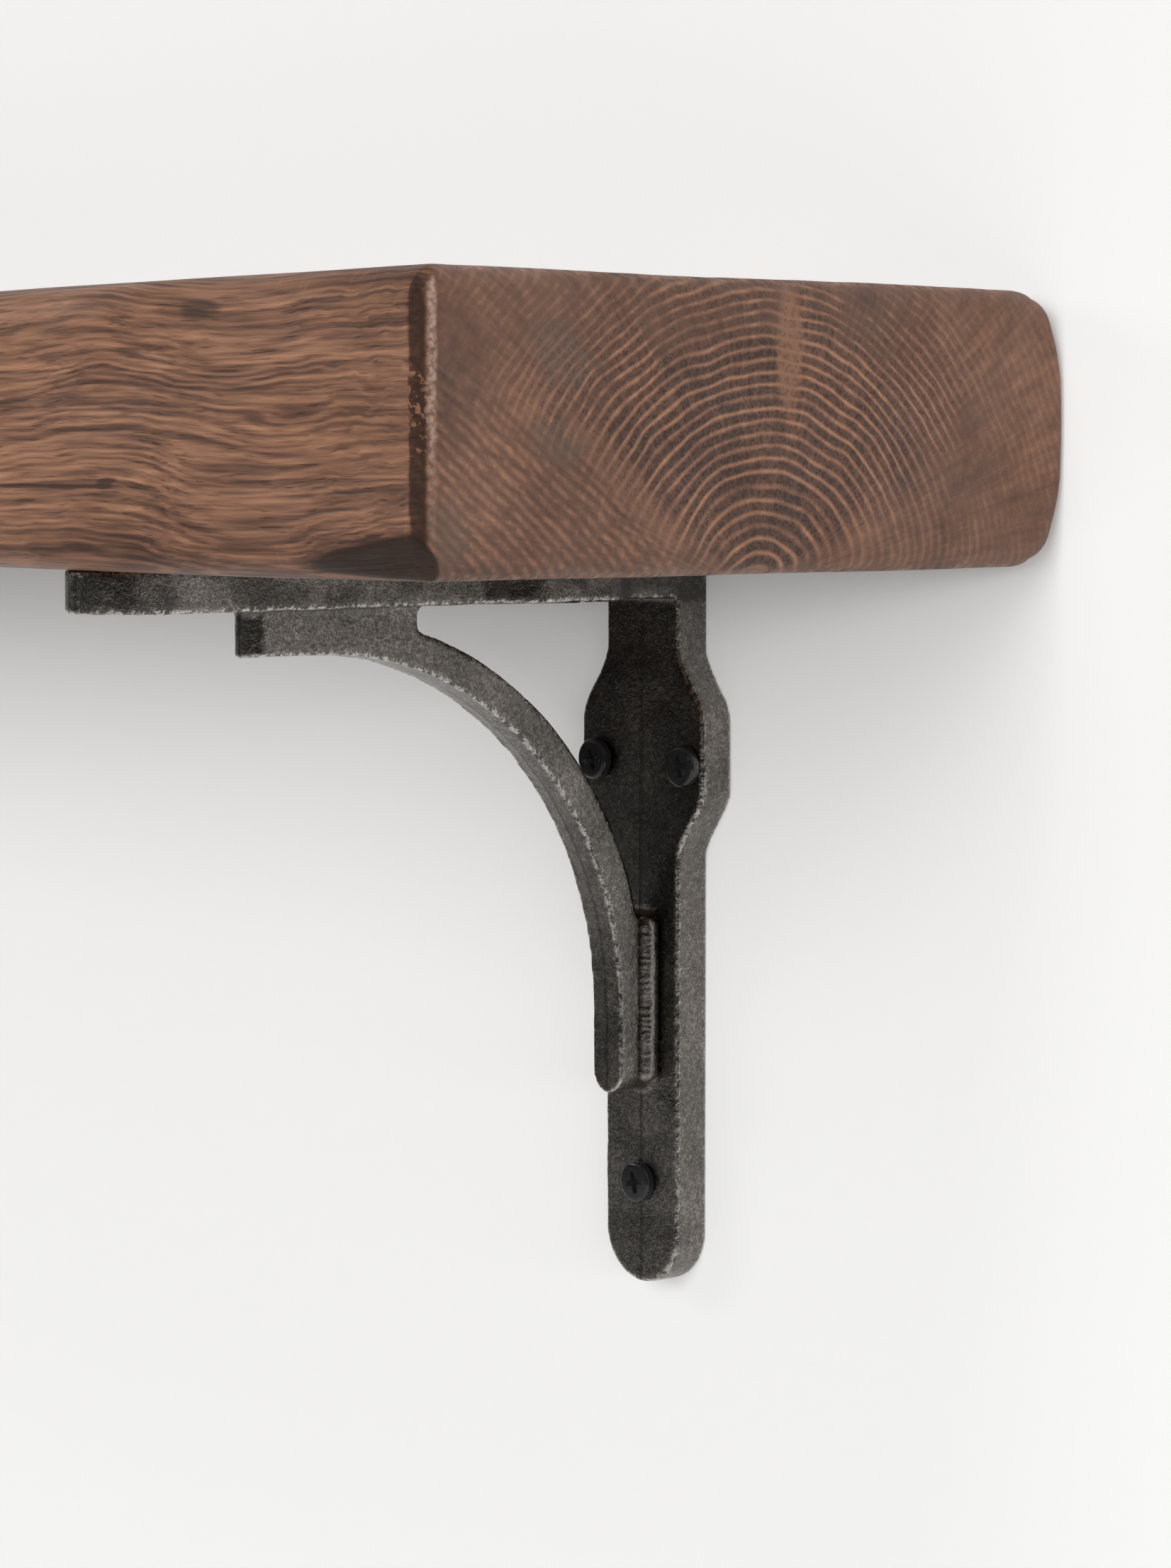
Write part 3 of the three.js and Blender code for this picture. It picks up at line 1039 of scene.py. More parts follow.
@dataclass
class ShelfBoard:
    """The thick board, with edges rounded by hand and corners sanded back."""

    finish: StainedTimber
    node: str = "shelf_board"
    long_edge_radius: float = 6.0
    end_edge_radius: float = 4.5
    front_corner_radius: float = 3.6
    back_corner_radius: float = 1.6
    back_corner_flare: float = 10.0
    flare_reach: float = 19.0
    waviness: float = 0.28
    grain_relief: float = 0.07
    swell_rate: float = 22.0
    grain_rates: tuple[float, float, float] = (30.0, 260.0, 260.0)
    face_spacing: float = 4.5
    edge_steps: tuple[float, ...] = (0.5, 1.2, 2.0, 3.0, 4.2, 5.4, 6.6, 8.0, 9.6, 11.5, 13.5, 16.0)
    end_steps: tuple[float, ...] = (
        0.5, 1.2, 2.0, 3.0, 4.2, 5.4, 6.6, 8.0, 9.6, 11.5, 13.5, 16.0, 18.5, 21.0, 24.0
    )
    corner_cuts: tuple[CornerCut, ...] = (
        CornerCut(1, 1, -1, 50.0, 4.8, 7.6),
        CornerCut(1, 1, 1, 9.0, 6.0, 6.0),
        CornerCut(-1, 1, -1, 50.0, 4.8, 7.6),
        CornerCut(-1, 1, 1, 11.0, 6.0, 6.5),
    )

    def build(self) -> bpy.types.Object:
        """Shape the board.

        Returns:
            The board.
        """
        low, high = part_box(self.node)
        middle, half = (low + high) / 2, (high - low) / 2
        spacing = self.face_spacing * MM
        bm = bmesh.new()
        bmesh.ops.create_cube(bm, size=2.0, matrix=Matrix.Diagonal((*half, 1.0)))
        slice_along(bm, Vector((0, 0, 1)), inward_steps(half.z, self.edge_steps, spacing))
        slice_along(bm, Vector((0, 1, 0)), inward_steps(half.y, self.edge_steps, spacing))
        slice_along(bm, Vector((1, 0, 0)), inward_steps(half.x, self.end_steps, spacing))
        for vert in bm.verts:
            vert.co = middle + self._rounded(vert.co, half)
        for cut in self.corner_cuts:
            self._sand(bm, *cut.plane(low, high))
        bmesh.ops.smooth_vert(
            bm,
            verts=bm.verts[:],
            factor=0.25,
            use_axis_x=True,
            use_axis_y=True,
            use_axis_z=True,
        )
        bm.normal_update()
        self._weather(bm, low, high)
        return self.dress(poured(bm, f"{self.node}.timber"))

    def _rounded(self, point: Vector, half: Vector) -> Vector:
        """Move a point of the plain block onto the rounded one.

        Args:
            point: The point, from the block's middle.
            half: The block's half sizes.

        Returns:
            The moved point.
        """
        radius = self._upright_radius(point, half)
        x, y = self._eased(point.x, point.y, half.x, half.y, radius)
        gap_x, gap_y = abs(x) - half.x + radius, abs(y) - half.y + radius
        if gap_x > 0 and gap_y > 0:
            outward = Vector((math.copysign(gap_x, x), math.copysign(gap_y, y))).normalized()
            inset = radius - math.hypot(gap_x, gap_y)
        elif gap_x > gap_y:
            outward = Vector((math.copysign(1.0, x), 0.0))
            inset = radius - gap_x
        else:
            outward = Vector((0.0, math.copysign(1.0, y)))
            inset = radius - gap_y
        edge = MM * (
            self.end_edge_radius * outward.x**2 + self.long_edge_radius * outward.y**2
        )
        reach, rise = edge - inset, abs(point.z) - half.z + edge
        if reach <= 0 or rise <= 0:
            return Vector((x, y, point.z))
        shrink = max(reach, rise) / math.hypot(reach, rise)
        moved = Vector((x, y)) - outward * (reach - reach * shrink)
        return Vector((moved.x, moved.y, math.copysign(half.z - edge + rise * shrink, point.z)))

    def _upright_radius(self, point: Vector, half: Vector) -> float:
        """Give the radius of the upright corner nearest to a point, at its height.

        Args:
            point: The point, from the block's middle.
            half: The block's half sizes.

        Returns:
            The radius, in metres.
        """
        if point.y < 0:
            return self.front_corner_radius * MM
        from_face = (half.z - abs(point.z)) / (self.flare_reach * MM)
        flare = max(0.0, 1.0 - from_face) ** 1.8
        return (self.back_corner_radius + self.back_corner_flare * flare) * MM

    @staticmethod
    def _eased(
        first: float, second: float, half_first: float, half_second: float, radius: float
    ) -> tuple[float, float]:
        """Draw a point of a square corner in to the round one inside it.

        Args:
            first: The point's first coordinate.
            second: Its second coordinate.
            half_first: The block's half size along the first axis.
            half_second: Its half size along the second axis.
            radius: The round corner's radius.

        Returns:
            The moved coordinates.
        """
        over_first = abs(first) - half_first + radius
        over_second = abs(second) - half_second + radius
        if over_first <= 0 or over_second <= 0:
            return first, second
        shrink = max(over_first, over_second) / math.hypot(over_first, over_second)
        return (
            math.copysign(half_first - radius + over_first * shrink, first),
            math.copysign(half_second - radius + over_second * shrink, second),
        )

    @staticmethod
    def _sand(bm: BMesh, point: Vector, normal: Vector) -> None:
        """Press what stands beyond a plane onto it.

        Args:
            bm: The board's mesh.
            point: A point on the plane.
            normal: The plane's outward normal.
        """
        for vert in bm.verts:
            proud = (vert.co - point).dot(normal)
            if proud > 0:
                vert.co -= normal * proud

    def _weather(self, bm: BMesh, low: Vector, high: Vector) -> None:
        """Give the faces the slight unevenness of hand-finished timber.

        Args:
            bm: The board's mesh.
            low: The lowest corner it may reach.
            high: The highest corner it may reach.
        """
        for vert in bm.verts:
            swell = noise.noise(vert.co * self.swell_rate) - 0.5
            stretched = [part * rate for part, rate in zip(vert.co, self.grain_rates)]
            ripple = noise.noise(Vector(stretched))
            shift = self.waviness * swell + self.grain_relief * ripple
            vert.co += vert.normal * shift * MM
            vert.co = Vector(
                max(least, min(most, value)) for value, least, most in zip(vert.co, low, high)
            )

    def dress(self, piece: bpy.types.Object) -> bpy.types.Object:
        """Stain the board and put it in its place."""
        return handed_over(piece, self.finish.material(), self.node, 60.0)


@dataclass
class Bracket:
    """One iron casting: an arm, a leg and the curved brace between them."""

    side: Side
    iron: bpy.types.Material
    lit_bead_iron: bpy.types.Material
    grain: float = 0.58
    smoothing: int = 4
    unevenness: float = 0.13
    draft: float = 0.09
    bar_thickness: float = 8.0
    seat_skin: float = 0.4
    leg_margin: float = 1.0
    arm_margin: float = 0.6
    swell_rates: tuple[float, float] = (130.0, 420.0)
    bead_segments: int = 20
    bead_spacing: float = 0.28
    bead_rates: tuple[float, float] = (300.0, 1100.0)
    bead_low: float = -131.0
    bead_high: float = -97.0
    bead_radius: float = 2.3
    bead_from_wall: float = -10.1
    bead_inset: float = 4.1
    bead_pitch: float = 1.15

    @property
    def node(self) -> str:
        """The casting's CAD node."""
        return f"bracket_{self.side.value}"

    def build(self, nodes: Mapping[str, bpy.types.Object]) -> None:
        """Cast the bracket and the rough beads beside its foot.

        Args:
            nodes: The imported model's nodes.
        """
        low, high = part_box(self.node)
        middle = (low.x + high.x) / 2
        casting = self._casting(nodes[self.node], middle)
        handed_over(casting, self.iron, self.node, 80.0)
        for hand, name in ((-1, "bead_1"), (1, "bead_2")):
            bead = self._bead(middle, hand, f"{self.node}.{name}")
            handed_over(bead, self.lit_bead_iron, None, 80.0)

    def _casting(self, packed: bpy.types.Object, middle: float) -> bpy.types.Object:
        """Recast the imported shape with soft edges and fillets.

        Args:
            packed: The CAD node's object.
            middle: The bracket's place along the wall.

        Returns:
            The casting.
        """
        bm = bmesh.new()
        bm.from_mesh(packed.data)
        bmesh.ops.remove_doubles(bm, verts=bm.verts[:], dist=MERGE_DISTANCE)
        piece = poured(bm, f"{self.node}.casting")
        remesh = piece.modifiers.new("sand_mould", "REMESH")
        remesh.mode = "VOXEL"
        remesh.voxel_size = self.grain * MM
        smooth = piece.modifiers.new("fillets", "SMOOTH")
        smooth.factor = 0.5
        smooth.iterations = self.smoothing
        settled(piece)
        mark_curvature(piece.data)
        self._roughen(piece.data, middle)
        return piece

    def _roughen(self, mesh: bpy.types.Mesh, middle: float) -> None:
        """Give the casting its draft and its slightly uneven skin.

        Args:
            mesh: The casting's mesh.
            middle: The bracket's place along the wall.
        """
        wall_skin = -self.seat_skin * MM
        shelf_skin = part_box(self.node)[1].z - self.seat_skin * MM
        leg_front = -(self.bar_thickness + self.leg_margin) * MM
        arm_underside = shelf_skin - (self.bar_thickness + self.arm_margin) * MM
        bm = bmesh.new()
        bm.from_mesh(mesh)
        for vert in bm.verts:
            if vert.co.y > wall_skin or vert.co.z > shelf_skin:
                continue
            broad, fine = (noise.noise(vert.co * rate) for rate in self.swell_rates)
            swell = broad + 0.5 * fine
            shift = self.unevenness * swell * MM
            if vert.co.y < leg_front and vert.co.z < arm_underside:
                shift -= self.draft * abs(vert.co.x - middle) * (1.0 - abs(vert.normal.x))
            vert.co += vert.normal * shift
        bm.to_mesh(mesh)
        bm.free()

    def _bead(self, middle: float, hand: int, name: str) -> bpy.types.Object:
        """Make the rippled bead between the foot's side and the leg.

        Args:
            middle: The bracket's place along the wall.
            hand: Which side of the foot it is on, 1 or -1.
            name: The piece's name.

        Returns:
            The bead.
        """
        length = (self.bead_high - self.bead_low) * MM
        bm = bmesh.new()
        bmesh.ops.create_cone(
            bm,
            cap_ends=True,
            segments=self.bead_segments,
            radius1=self.bead_radius * MM,
            radius2=self.bead_radius * MM,
            depth=length,
        )
        ends = (0.1, 0.25, 0.45, 0.7, 1.0, 1.35, 1.7, 2.1)
        cuts = inward_steps(length / 2, ends, self.bead_spacing * MM)
        slice_along(bm, Vector((0, 0, 1)), cuts)
        centre = Vector(
            (
                middle + hand * self.bead_inset * MM,
                self.bead_from_wall * MM,
                (self.bead_low + self.bead_high) / 2 * MM,
            )
        )
        for vert in bm.verts:
            from_end = (length / 2 - abs(vert.co.z)) / (self.bead_radius * MM)
            dome = math.sqrt(max(0.0, 1.0 - max(0.0, 1.0 - from_end) ** 2))
            wave = 2 * math.pi * vert.co.z / (self.bead_pitch * MM)
            angle = math.atan2(vert.co.y, vert.co.x * hand)
            drift_rate, chatter_rate = self.bead_rates
            drift = noise.noise(vert.co * drift_rate + Vector((hand, middle * 9.0, 0.0)))
            chatter = noise.noise(vert.co * chatter_rate)
            ripple = 1.0 + 0.015 * math.sin(wave + 1.4 * angle**2 + 6.0 * drift)
            ripple += 0.07 * drift + 0.03 * chatter
            vert.co.x *= dome * ripple
            vert.co.y *= dome * ripple
            vert.co += centre
        bmesh.ops.recalc_face_normals(bm, faces=bm.faces[:])
        return poured(bm, name)


@dataclass
class Screw:
    """A cross-head screw, made pointing down from Z = 0 and then put in its place."""

    coating: bpy.types.Material
    recess_width: float = 5.0
    recess_foot: float = 2.2
    recess_slot: float = 1.25
    recess_depth: float = 1.6
    shank_radius: float = 2.1
    core_radius: float = 1.45
    thread_pitch: float = 1.8
    tip_length: float = 4.5
    plain_length: float = 4.0
    sides: int = 48
    thread_steps: int = 24
    thread_overlap: float = 0.8
    thread_end: float = 1.2
    thread_root: float = 0.30
    thread_sink: float = 0.9
    thread_lead: float = 0.6
    thread_run_in: float = 2.0

    def head_profile(self, radius: float) -> list[tuple[float, float]]:
        """Give the head's outline from the middle of its top down to its shank."""
        raise NotImplementedError

    def top(self) -> float:
        """Give the height of the flat that the recess is cut into, in millimetres."""
        raise NotImplementedError

    def turned(self, head_radius: float, length: float) -> BMesh:
        """Turn a screw on the Z axis.

        Args:
            head_radius: The head's radius, in millimetres.
            length: From Z = 0 to the tip, in millimetres.

        Returns:
            The screw, with its recess and thread.
        """
        body = self.head_profile(head_radius) + [
            (self.shank_radius, -self.plain_length),
            (self.core_radius, -self.plain_length - 0.6),
            (self.core_radius, -(length - self.tip_length)),
            (0.35, -(length - 0.3)),
            (0.0, -length),
        ]
        bm = spun([(radius * MM, height * MM) for radius, height in body], self.sides)
        bm = carved(bm, self._recess())
        self._add_thread(bm, length)
        return bm

    def _recess(self) -> list[BMesh]:
        """Make the two crossing cutters of the recess.

        Returns:
            The cutters.
        """
        cutters = []
        for turn in (0.0, 90.0):
            block = tapered_block(
                Vector((self.recess_width, self.recess_slot)) * MM,
                Vector((self.recess_foot, self.recess_slot * 0.7)) * MM,
                self.recess_depth * MM,
                0.4 * MM,
            )
            turned = Matrix.Rotation(math.radians(turn), 4, "Z")
            place = Matrix.Translation((0, 0, self.top() * MM)) @ turned
            bmesh.ops.transform(block, verts=block.verts[:], matrix=place)
            cutters.append(block)
        return cutters

    def _add_thread(self, bm: BMesh, length: float) -> None:
        """Wind a sharp thread round the core, running out at both ends.

        Args:
            bm: The turned screw.
            length: From Z = 0 to the tip, in millimetres.
        """
        start = -self.plain_length - self.thread_overlap
        end = -(length - self.thread_end)
        turns = (start - end) / self.thread_pitch
        steps = round(turns * self.thread_steps)
        half_root = self.thread_pitch * self.thread_root
        root = self.core_radius * self.thread_sink
        points = ((root, half_root), (self.shank_radius, 0.0), (root, -half_root))
        crest = [bm.verts.new((radius * MM, 0.0, (start + rise) * MM)) for radius, rise in points]
        loop = [bm.edges.new((crest[i], crest[(i + 1) % 3])) for i in range(3)]
        before = set(bm.verts) - set(crest)
        bmesh.ops.spin(
            bm,
            geom=crest + loop,
            cent=(0, 0, 0),
            axis=(0, 0, 1),
            dvec=(0, 0, -self.thread_pitch * MM / self.thread_steps),
            angle=2 * math.pi * turns,
            steps=steps,
        )
        fresh = [vert for vert in bm.verts if vert not in before]
        bmesh.ops.holes_fill(bm, edges=[edge for edge in bm.edges if edge.is_boundary], sides=3)
        for vert in fresh:
            run_in = min(1.0, (start + self.thread_lead - vert.co.z / MM) / self.thread_run_in)
            tip = (vert.co.z / MM + length) / self.tip_length
            scale = min(1.0, 0.72 + 0.28 * run_in) * min(1.0, 0.25 + 0.75 * tip)
            vert.co.x *= scale
            vert.co.y *= scale
        faces = [face for face in bm.faces if all(vert not in before for vert in face.verts)]
        bmesh.ops.recalc_face_normals(bm, faces=faces)

    def set_in_place(self, bm: BMesh, place: Matrix, node: str) -> bpy.types.Object:
        """Move a turned screw into the frame and dress it.

        Args:
            bm: The turned screw.
            place: Its place in the frame.
            node: The CAD node it stands for.

        Returns:
            The piece.
        """
        bmesh.ops.transform(bm, matrix=place, verts=bm.verts[:])
        return handed_over(poured(bm, f"{node}.screw"), self.coating, node, 35.0)


@dataclass
class WallScrew(Screw):
    """A pan-head screw that holds a leg to the wall."""

    head_height: float = 2.1
    head_corner: float = 0.7
    clock: float = 15.0

    def top(self) -> float:
        """Give the head's flat top, in millimetres."""
        return self.head_height

    def head_profile(self, radius: float) -> list[tuple[float, float]]:
        """Give a low cylinder's outline with a rounded top corner.

        Args:
            radius: The head's radius, in millimetres.

        Returns:
            The (radius, height) points.
        """
        corner = self.head_corner
        rim = arc((radius - corner, self.head_height - corner), corner, 90.0, 0.0, 6)
        foot = [(radius, 0.2), (radius - 0.2, 0.0), (self.shank_radius, 0.0)]
        return [(0.0, self.head_height), *rim, *foot]

    def build(self, node: str) -> bpy.types.Object:
        """Make the screw where its CAD node is.

        Args:
            node: The CAD node.

        Returns:
            The piece.
        """
        low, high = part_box(node)
        seat = Vector(((low.x + high.x) / 2, low.y + self.head_height * MM, (low.z + high.z) / 2))
        bm = self.turned((high.x - low.x) / 2 / MM, (high.y - seat.y) / MM)
        outward = Matrix.Rotation(math.radians(90.0), 4, "X")
        clocked = Matrix.Rotation(math.radians(self.clock), 4, "Z")
        return self.set_in_place(bm, Matrix.Translation(seat) @ outward @ clocked, node)


@dataclass
class ShelfScrew(Screw):
    """A flat-head screw, flush in the arm's underside, that holds the board."""

    head_depth: float = 2.2
    rim: float = 0.25
    plain_length: float = 8.0
    clock: float = 30.0

    def top(self) -> float:
        """Give the head's flat top, in millimetres."""
        return 0.0

    def head_profile(self, radius: float) -> list[tuple[float, float]]:
        """Give a countersunk head's outline.

        Args:
            radius: The head's radius, in millimetres.

        Returns:
            The (radius, height) points.
        """
        face = [(0.0, 0.0), (radius - 0.1, 0.0), (radius, -0.1), (radius, -self.rim)]
        return [*face, (self.shank_radius, -self.head_depth)]

    def build(self, node: str) -> bpy.types.Object:
        """Make the screw where its CAD node is.

        Args:
            node: The CAD node.

        Returns:
            The piece.
        """
        low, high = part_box(node)
        seat = Vector(((low.x + high.x) / 2, (low.y + high.y) / 2, low.z))
        bm = self.turned((high.x - low.x) / 2 / MM, (high.z - low.z) / MM)
        downward = Matrix.Rotation(math.radians(180.0), 4, "X")
        clocked = Matrix.Rotation(math.radians(self.clock), 4, "Z")
        return self.set_in_place(bm, Matrix.Translation(seat) @ downward @ clocked, node)


@dataclass
class WallPlug:
    """A barbed, split nylon plug with two fins."""

    nylon: bpy.types.Material
    sides: int = 36
    bore_radius: float = 2.3
    body_radius: float = 4.0
    tip_radius: float = 2.9
    tip_length: float = 6.0
    barb_depth: float = 0.45
    barb_pitch: float = 3.6
    barb_start: float = 10.0
    slot_width: float = 1.0
    slot_start: float = 9.0
    fin_height: float = 0.8
    fin_width: float = 1.2
    fin_start: float = 3.0
    fin_length: float = 16.0

    def build(self, node: str) -> bpy.types.Object:
        """Make the plug where its CAD node is.

        Args:
            node: The CAD node.

        Returns:
            The piece.
        """
        low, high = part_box(node)
        length = (high.y - low.y) / MM
        outline = [(radius * MM, -depth * MM) for radius, depth in self._section(length)]
        bm = spun(outline, self.sides, closed=True)
        bm = carved(bm, [self._slot(length)])
        for turn in (90.0, 270.0):
            self._add_fin(bm, turn)
        mouth = Vector(((low.x + high.x) / 2, low.y, (low.z + high.z) / 2))
        outward = Matrix.Rotation(math.radians(90.0), 4, "X")
        bmesh.ops.transform(bm, matrix=Matrix.Translation(mouth) @ outward, verts=bm.verts[:])
        return handed_over(poured(bm, f"{node}.nylon"), self.nylon, node, 30.0)

    def _section(self, length: float) -> list[tuple[float, float]]:
        """Give the outline of the plug's cut wall.

        Args:
            length: The plug's length, in millimetres.

        Returns:
            The (radius, depth) points, in millimetres.
        """
        outer = [(self.body_radius - 0.3, 0.0), (self.body_radius, 0.3)]
        depth = self.barb_start
        while depth + self.barb_pitch < length - self.tip_length:
            outer.append((self.body_radius, depth))
            outer.append((self.body_radius - self.barb_depth, depth + 0.3))
            outer.append((self.body_radius, depth + self.barb_pitch - 0.1))
            depth += self.barb_pitch
        outer.append((self.body_radius, length - self.tip_length))
        outer += [(self.tip_radius, length - 0.4), (self.tip_radius - 0.4, length)]
        inner = [(1.0, length), (1.0, length - 3.0), (self.bore_radius, length - 5.0)]
        return outer + inner + [(self.bore_radius, 0.6), (self.bore_radius + 0.4, 0.0)]

    def _slot(self, length: float) -> BMesh:
        """Make the cutter that splits the plug.

        Args:
            length: The plug's length, in millimetres.

        Returns:
            The cutter.
        """
        cutter = bmesh.new()
        bmesh.ops.create_cube(cutter, size=1.0)
        depth = length + 2.0 - self.slot_start
        size = Vector((self.body_radius * 3, self.slot_width, depth)) * MM
        bmesh.ops.scale(cutter, vec=size, verts=cutter.verts[:])
        drop = Vector((0, 0, -(self.slot_start + depth / 2) * MM))
        bmesh.ops.translate(cutter, vec=drop, verts=cutter.verts[:])
        return cutter

    def _add_fin(self, bm: BMesh, turn: float) -> None:
        """Add a fin that stops the plug turning.

        Args:
            bm: The plug.
            turn: Its bearing round the axis, in degrees.
        """
        size = Vector((self.fin_height + 0.6, self.fin_width, self.fin_length)) * MM
        made = bmesh.ops.create_cube(bm, size=1.0)["verts"]
        bmesh.ops.scale(bm, vec=size, verts=made)
        drop = -(self.fin_start + self.fin_length / 2) * MM
        out = (self.body_radius + self.fin_height) * MM - size.x / 2
        bmesh.ops.translate(bm, vec=(out, 0.0, drop), verts=made)
        for vert in made:
            if vert.co.z < drop and vert.co.x > out:
                vert.co.x -= self.fin_height * MM
        bmesh.ops.rotate(
            bm, verts=made, cent=(0, 0, 0), matrix=Matrix.Rotation(math.radians(turn), 3, "Z")
        )


@dataclass
class Fixings:
    """The screws and plugs of one bracket."""

    side: Side
    coating: bpy.types.Material
    nylon: bpy.types.Material
    clocks: Mapping[str, float] = field(
        default_factory=lambda: {"outer": 10.0, "inner": 20.0, "lower": 15.0}
    )
    shelf_clocks: Mapping[str, float] = field(
        default_factory=lambda: {"outer": 62.0, "inner": 35.0, "front": 5.0}
    )

    def build(self) -> None:
        """Make every screw and plug of the bracket."""
        for place, clock in self.clocks.items():
            WallScrew(self.coating, clock=clock).build(f"wall_screw_{self.side.value}_{place}")
            WallPlug(self.nylon).build(f"wall_plug_{self.side.value}_{place}")
        for place, clock in self.shelf_clocks.items():
            ShelfScrew(self.coating, clock=clock).build(f"shelf_screw_{self.side.value}_{place}")


# ------------------------------------------------------------------------------------------ room


@dataclass
class Studio:
    """The white wall, the pale floor, the lights and the camera."""

    board_node: str = "shelf_board"
    wall_half_size: float = 3.0
    wall_gap: float = 0.0002
    floor_drop: float = 1.1
    wall_paint: PaintedPlaster = PaintedPlaster()
    floor_paint: PaintedPlaster = PaintedPlaster("grey_floor", (0.55, 0.545, 0.54), (0.0, 0.0, 0.0))
    backdrop: Colour = (0.905, 0.905, 0.9)
    ambient: Colour = (1.0, 0.99, 0.975)
    board_inset: float = 8.0
    leg_half_width: float = 9.0
    leg_inset: float = 9.0
    pad_inset: float = 2.0
    pad_top: float = 36.0
    pad_foot: float = 46.0
    eye_past_end: float = 0.4539
    eye_from_wall: float = 0.5185
    eye_above_underside: float = 0.0199
    eye_pitch: float = 85.031
    eye_turn: float = 48.446
    lens: float = 86.294

    def build(self) -> None:
        """Set up the room around the shelf."""
        self._wall(self.wall_paint.material())
        self._floor(self.floor_paint.material())
        self._world()
        self._far_light("key_light", azimuth=17.0, elevation=15.6, spread=34.0, power=1.87)
        self._far_light("overhead_light", azimuth=0.0, elevation=63.0, spread=24.0, power=0.75)
        self._panel(
            "side_light",
            bearing=(-55.0, 19.0),
            distance=1.7,
            size=(0.62, 0.62),
            power=4.2,
            mirrored=True,
        )
        self._panel(
            "right_light",
            bearing=(56.0, 6.0),
            distance=5.0,
            size=(6.0, 0.8),
            power=180.0,
            mirrored=False,
        )
        self._camera()

    def _wall(self, plaster: bpy.types.Material) -> None:
        """Make the wall, open behind the board and the legs so that their backs get light.

        Args:
            plaster: The wall's material.
        """
        bm = bmesh.new()
        bmesh.ops.create_grid(bm, x_segments=1, y_segments=1, size=self.wall_half_size)
        openings = self._backs()
        slice_along(bm, Vector((1, 0, 0)), sorted({x for box in openings for x in box[:2]}))
        slice_along(bm, Vector((0, 1, 0)), sorted({z for box in openings for z in box[2:]}))
        hidden = [face for face in bm.faces if self._inside(face.calc_center_median(), openings)]
        bmesh.ops.delete(bm, geom=hidden, context="FACES")
        upright = Matrix.Rotation(math.radians(90.0), 3, "X")
        bmesh.ops.rotate(bm, verts=bm.verts[:], cent=(0, 0, 0), matrix=upright)
        bmesh.ops.translate(bm, verts=bm.verts[:], vec=(0, self.wall_gap, 0))
        self._staged(bm, "wall", plaster)

    def _backs(self) -> list[tuple[float, float, float, float]]:
        """Find what lies flat on the wall, drawn in a little.

        Returns:
            The (left, right, low, high) of each patch.
        """
        low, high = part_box(self.board_node)
        inset, pad_inset = self.board_inset * MM, self.pad_inset * MM
        leg_half, leg_inset = self.leg_half_width * MM, self.leg_inset * MM
        backs = [(low.x + inset, high.x - inset, low.z + inset, high.z - inset)]
        for side in Side:
            low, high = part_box(f"bracket_{side.value}")
            middle = (low.x + high.x) / 2
            backs.append((middle - leg_half, middle + leg_half, low.z + leg_inset, high.z - MM))
            top, foot = high.z - self.pad_top * MM, high.z - self.pad_foot * MM
            backs.append((low.x + pad_inset, high.x - pad_inset, foot, top))
        return backs

    @staticmethod
    def _inside(point: Vector, boxes: Iterable[tuple[float, float, float, float]]) -> bool:
        """Say whether a point of the unturned wall lies in one of the boxes.

        Args:
            point: The point.
            boxes: The (left, right, low, high) boxes.

        Returns:
            Whether it does.
        """
        return any(
            left < point.x < right and low < point.y < high for left, right, low, high in boxes
        )

    def _floor(self, plaster: bpy.types.Material) -> None:
        """Lay the floor well below the shelf.

        Args:
            plaster: The floor's material.
        """
        bm = bmesh.new()
        bmesh.ops.create_grid(bm, x_segments=1, y_segments=1, size=self.wall_half_size)
        drop = Vector((0, self.wall_gap - self.wall_half_size, -self.floor_drop))
        bmesh.ops.translate(bm, verts=bm.verts[:], vec=drop)
        self._staged(bm, "floor", plaster)

    @staticmethod
    def _staged(bm: BMesh, name: str, material: bpy.types.Material) -> None:
        """Add a part of the room.

        Args:
            bm: Its mesh.
            name: Its name.
            material: Its material.
        """
        part = poured(bm, name)
        part.data.materials.append(material)

    def _world(self) -> None:
        """Light the room softly: brighter above and below, dim at eye level and in front."""
        world = bpy.data.worlds.new("soft_room")
        world.use_nodes = True
        bpy.context.scene.world = world
        sheet = NodeSheet(world.node_tree)
        x, y, z = sheet.parts(sheet.node("ShaderNodeTexCoord").outputs["Generated"])
        ahead = x * 0.82 - y * 0.57
        dark = ahead.fade(0.45, 0.85) * z.fade(0.8, 0.3)
        level = 0.012 + z.fade(0.1, 0.9, 0.0, 0.20) + (-1.0 * z).fade(0.08, 0.40, 0.0, 0.44)
        level = level * (1 - dark * 0.85)
        warm = {"Color": (*self.ambient, 1.0), "Strength": level}
        room = sheet.node("ShaderNodeBackground", None, warm)
        plain = sheet.node("ShaderNodeBackground", None, {"Color": (*self.backdrop, 1.0)})
        seen = sheet.node("ShaderNodeLightPath").outputs["Is Camera Ray"]
        mixed = sheet.node(
            "ShaderNodeMixShader", None, {0: seen, 1: room.outputs[0], 2: plain.outputs[0]}
        )
        sheet.node("ShaderNodeOutputWorld", None, {"Surface": mixed.outputs[0]})

    @staticmethod
    def _hung(name: str, data: bpy.types.Light, towards: Vector, distance: float) -> None:
        """Hang a lamp on one side of the shelf, facing it.

        Args:
            name: The lamp's name.
            data: The lamp.
            towards: The direction from the shelf to the lamp.
            distance: How far away it hangs.
        """
        lamp = bpy.data.objects.new(name, data)
        lamp.location = Vector(LIT_POINT) + towards * distance
        lamp.rotation_euler = towards.to_track_quat("Z", "Y").to_euler()
        bpy.context.scene.collection.objects.link(lamp)

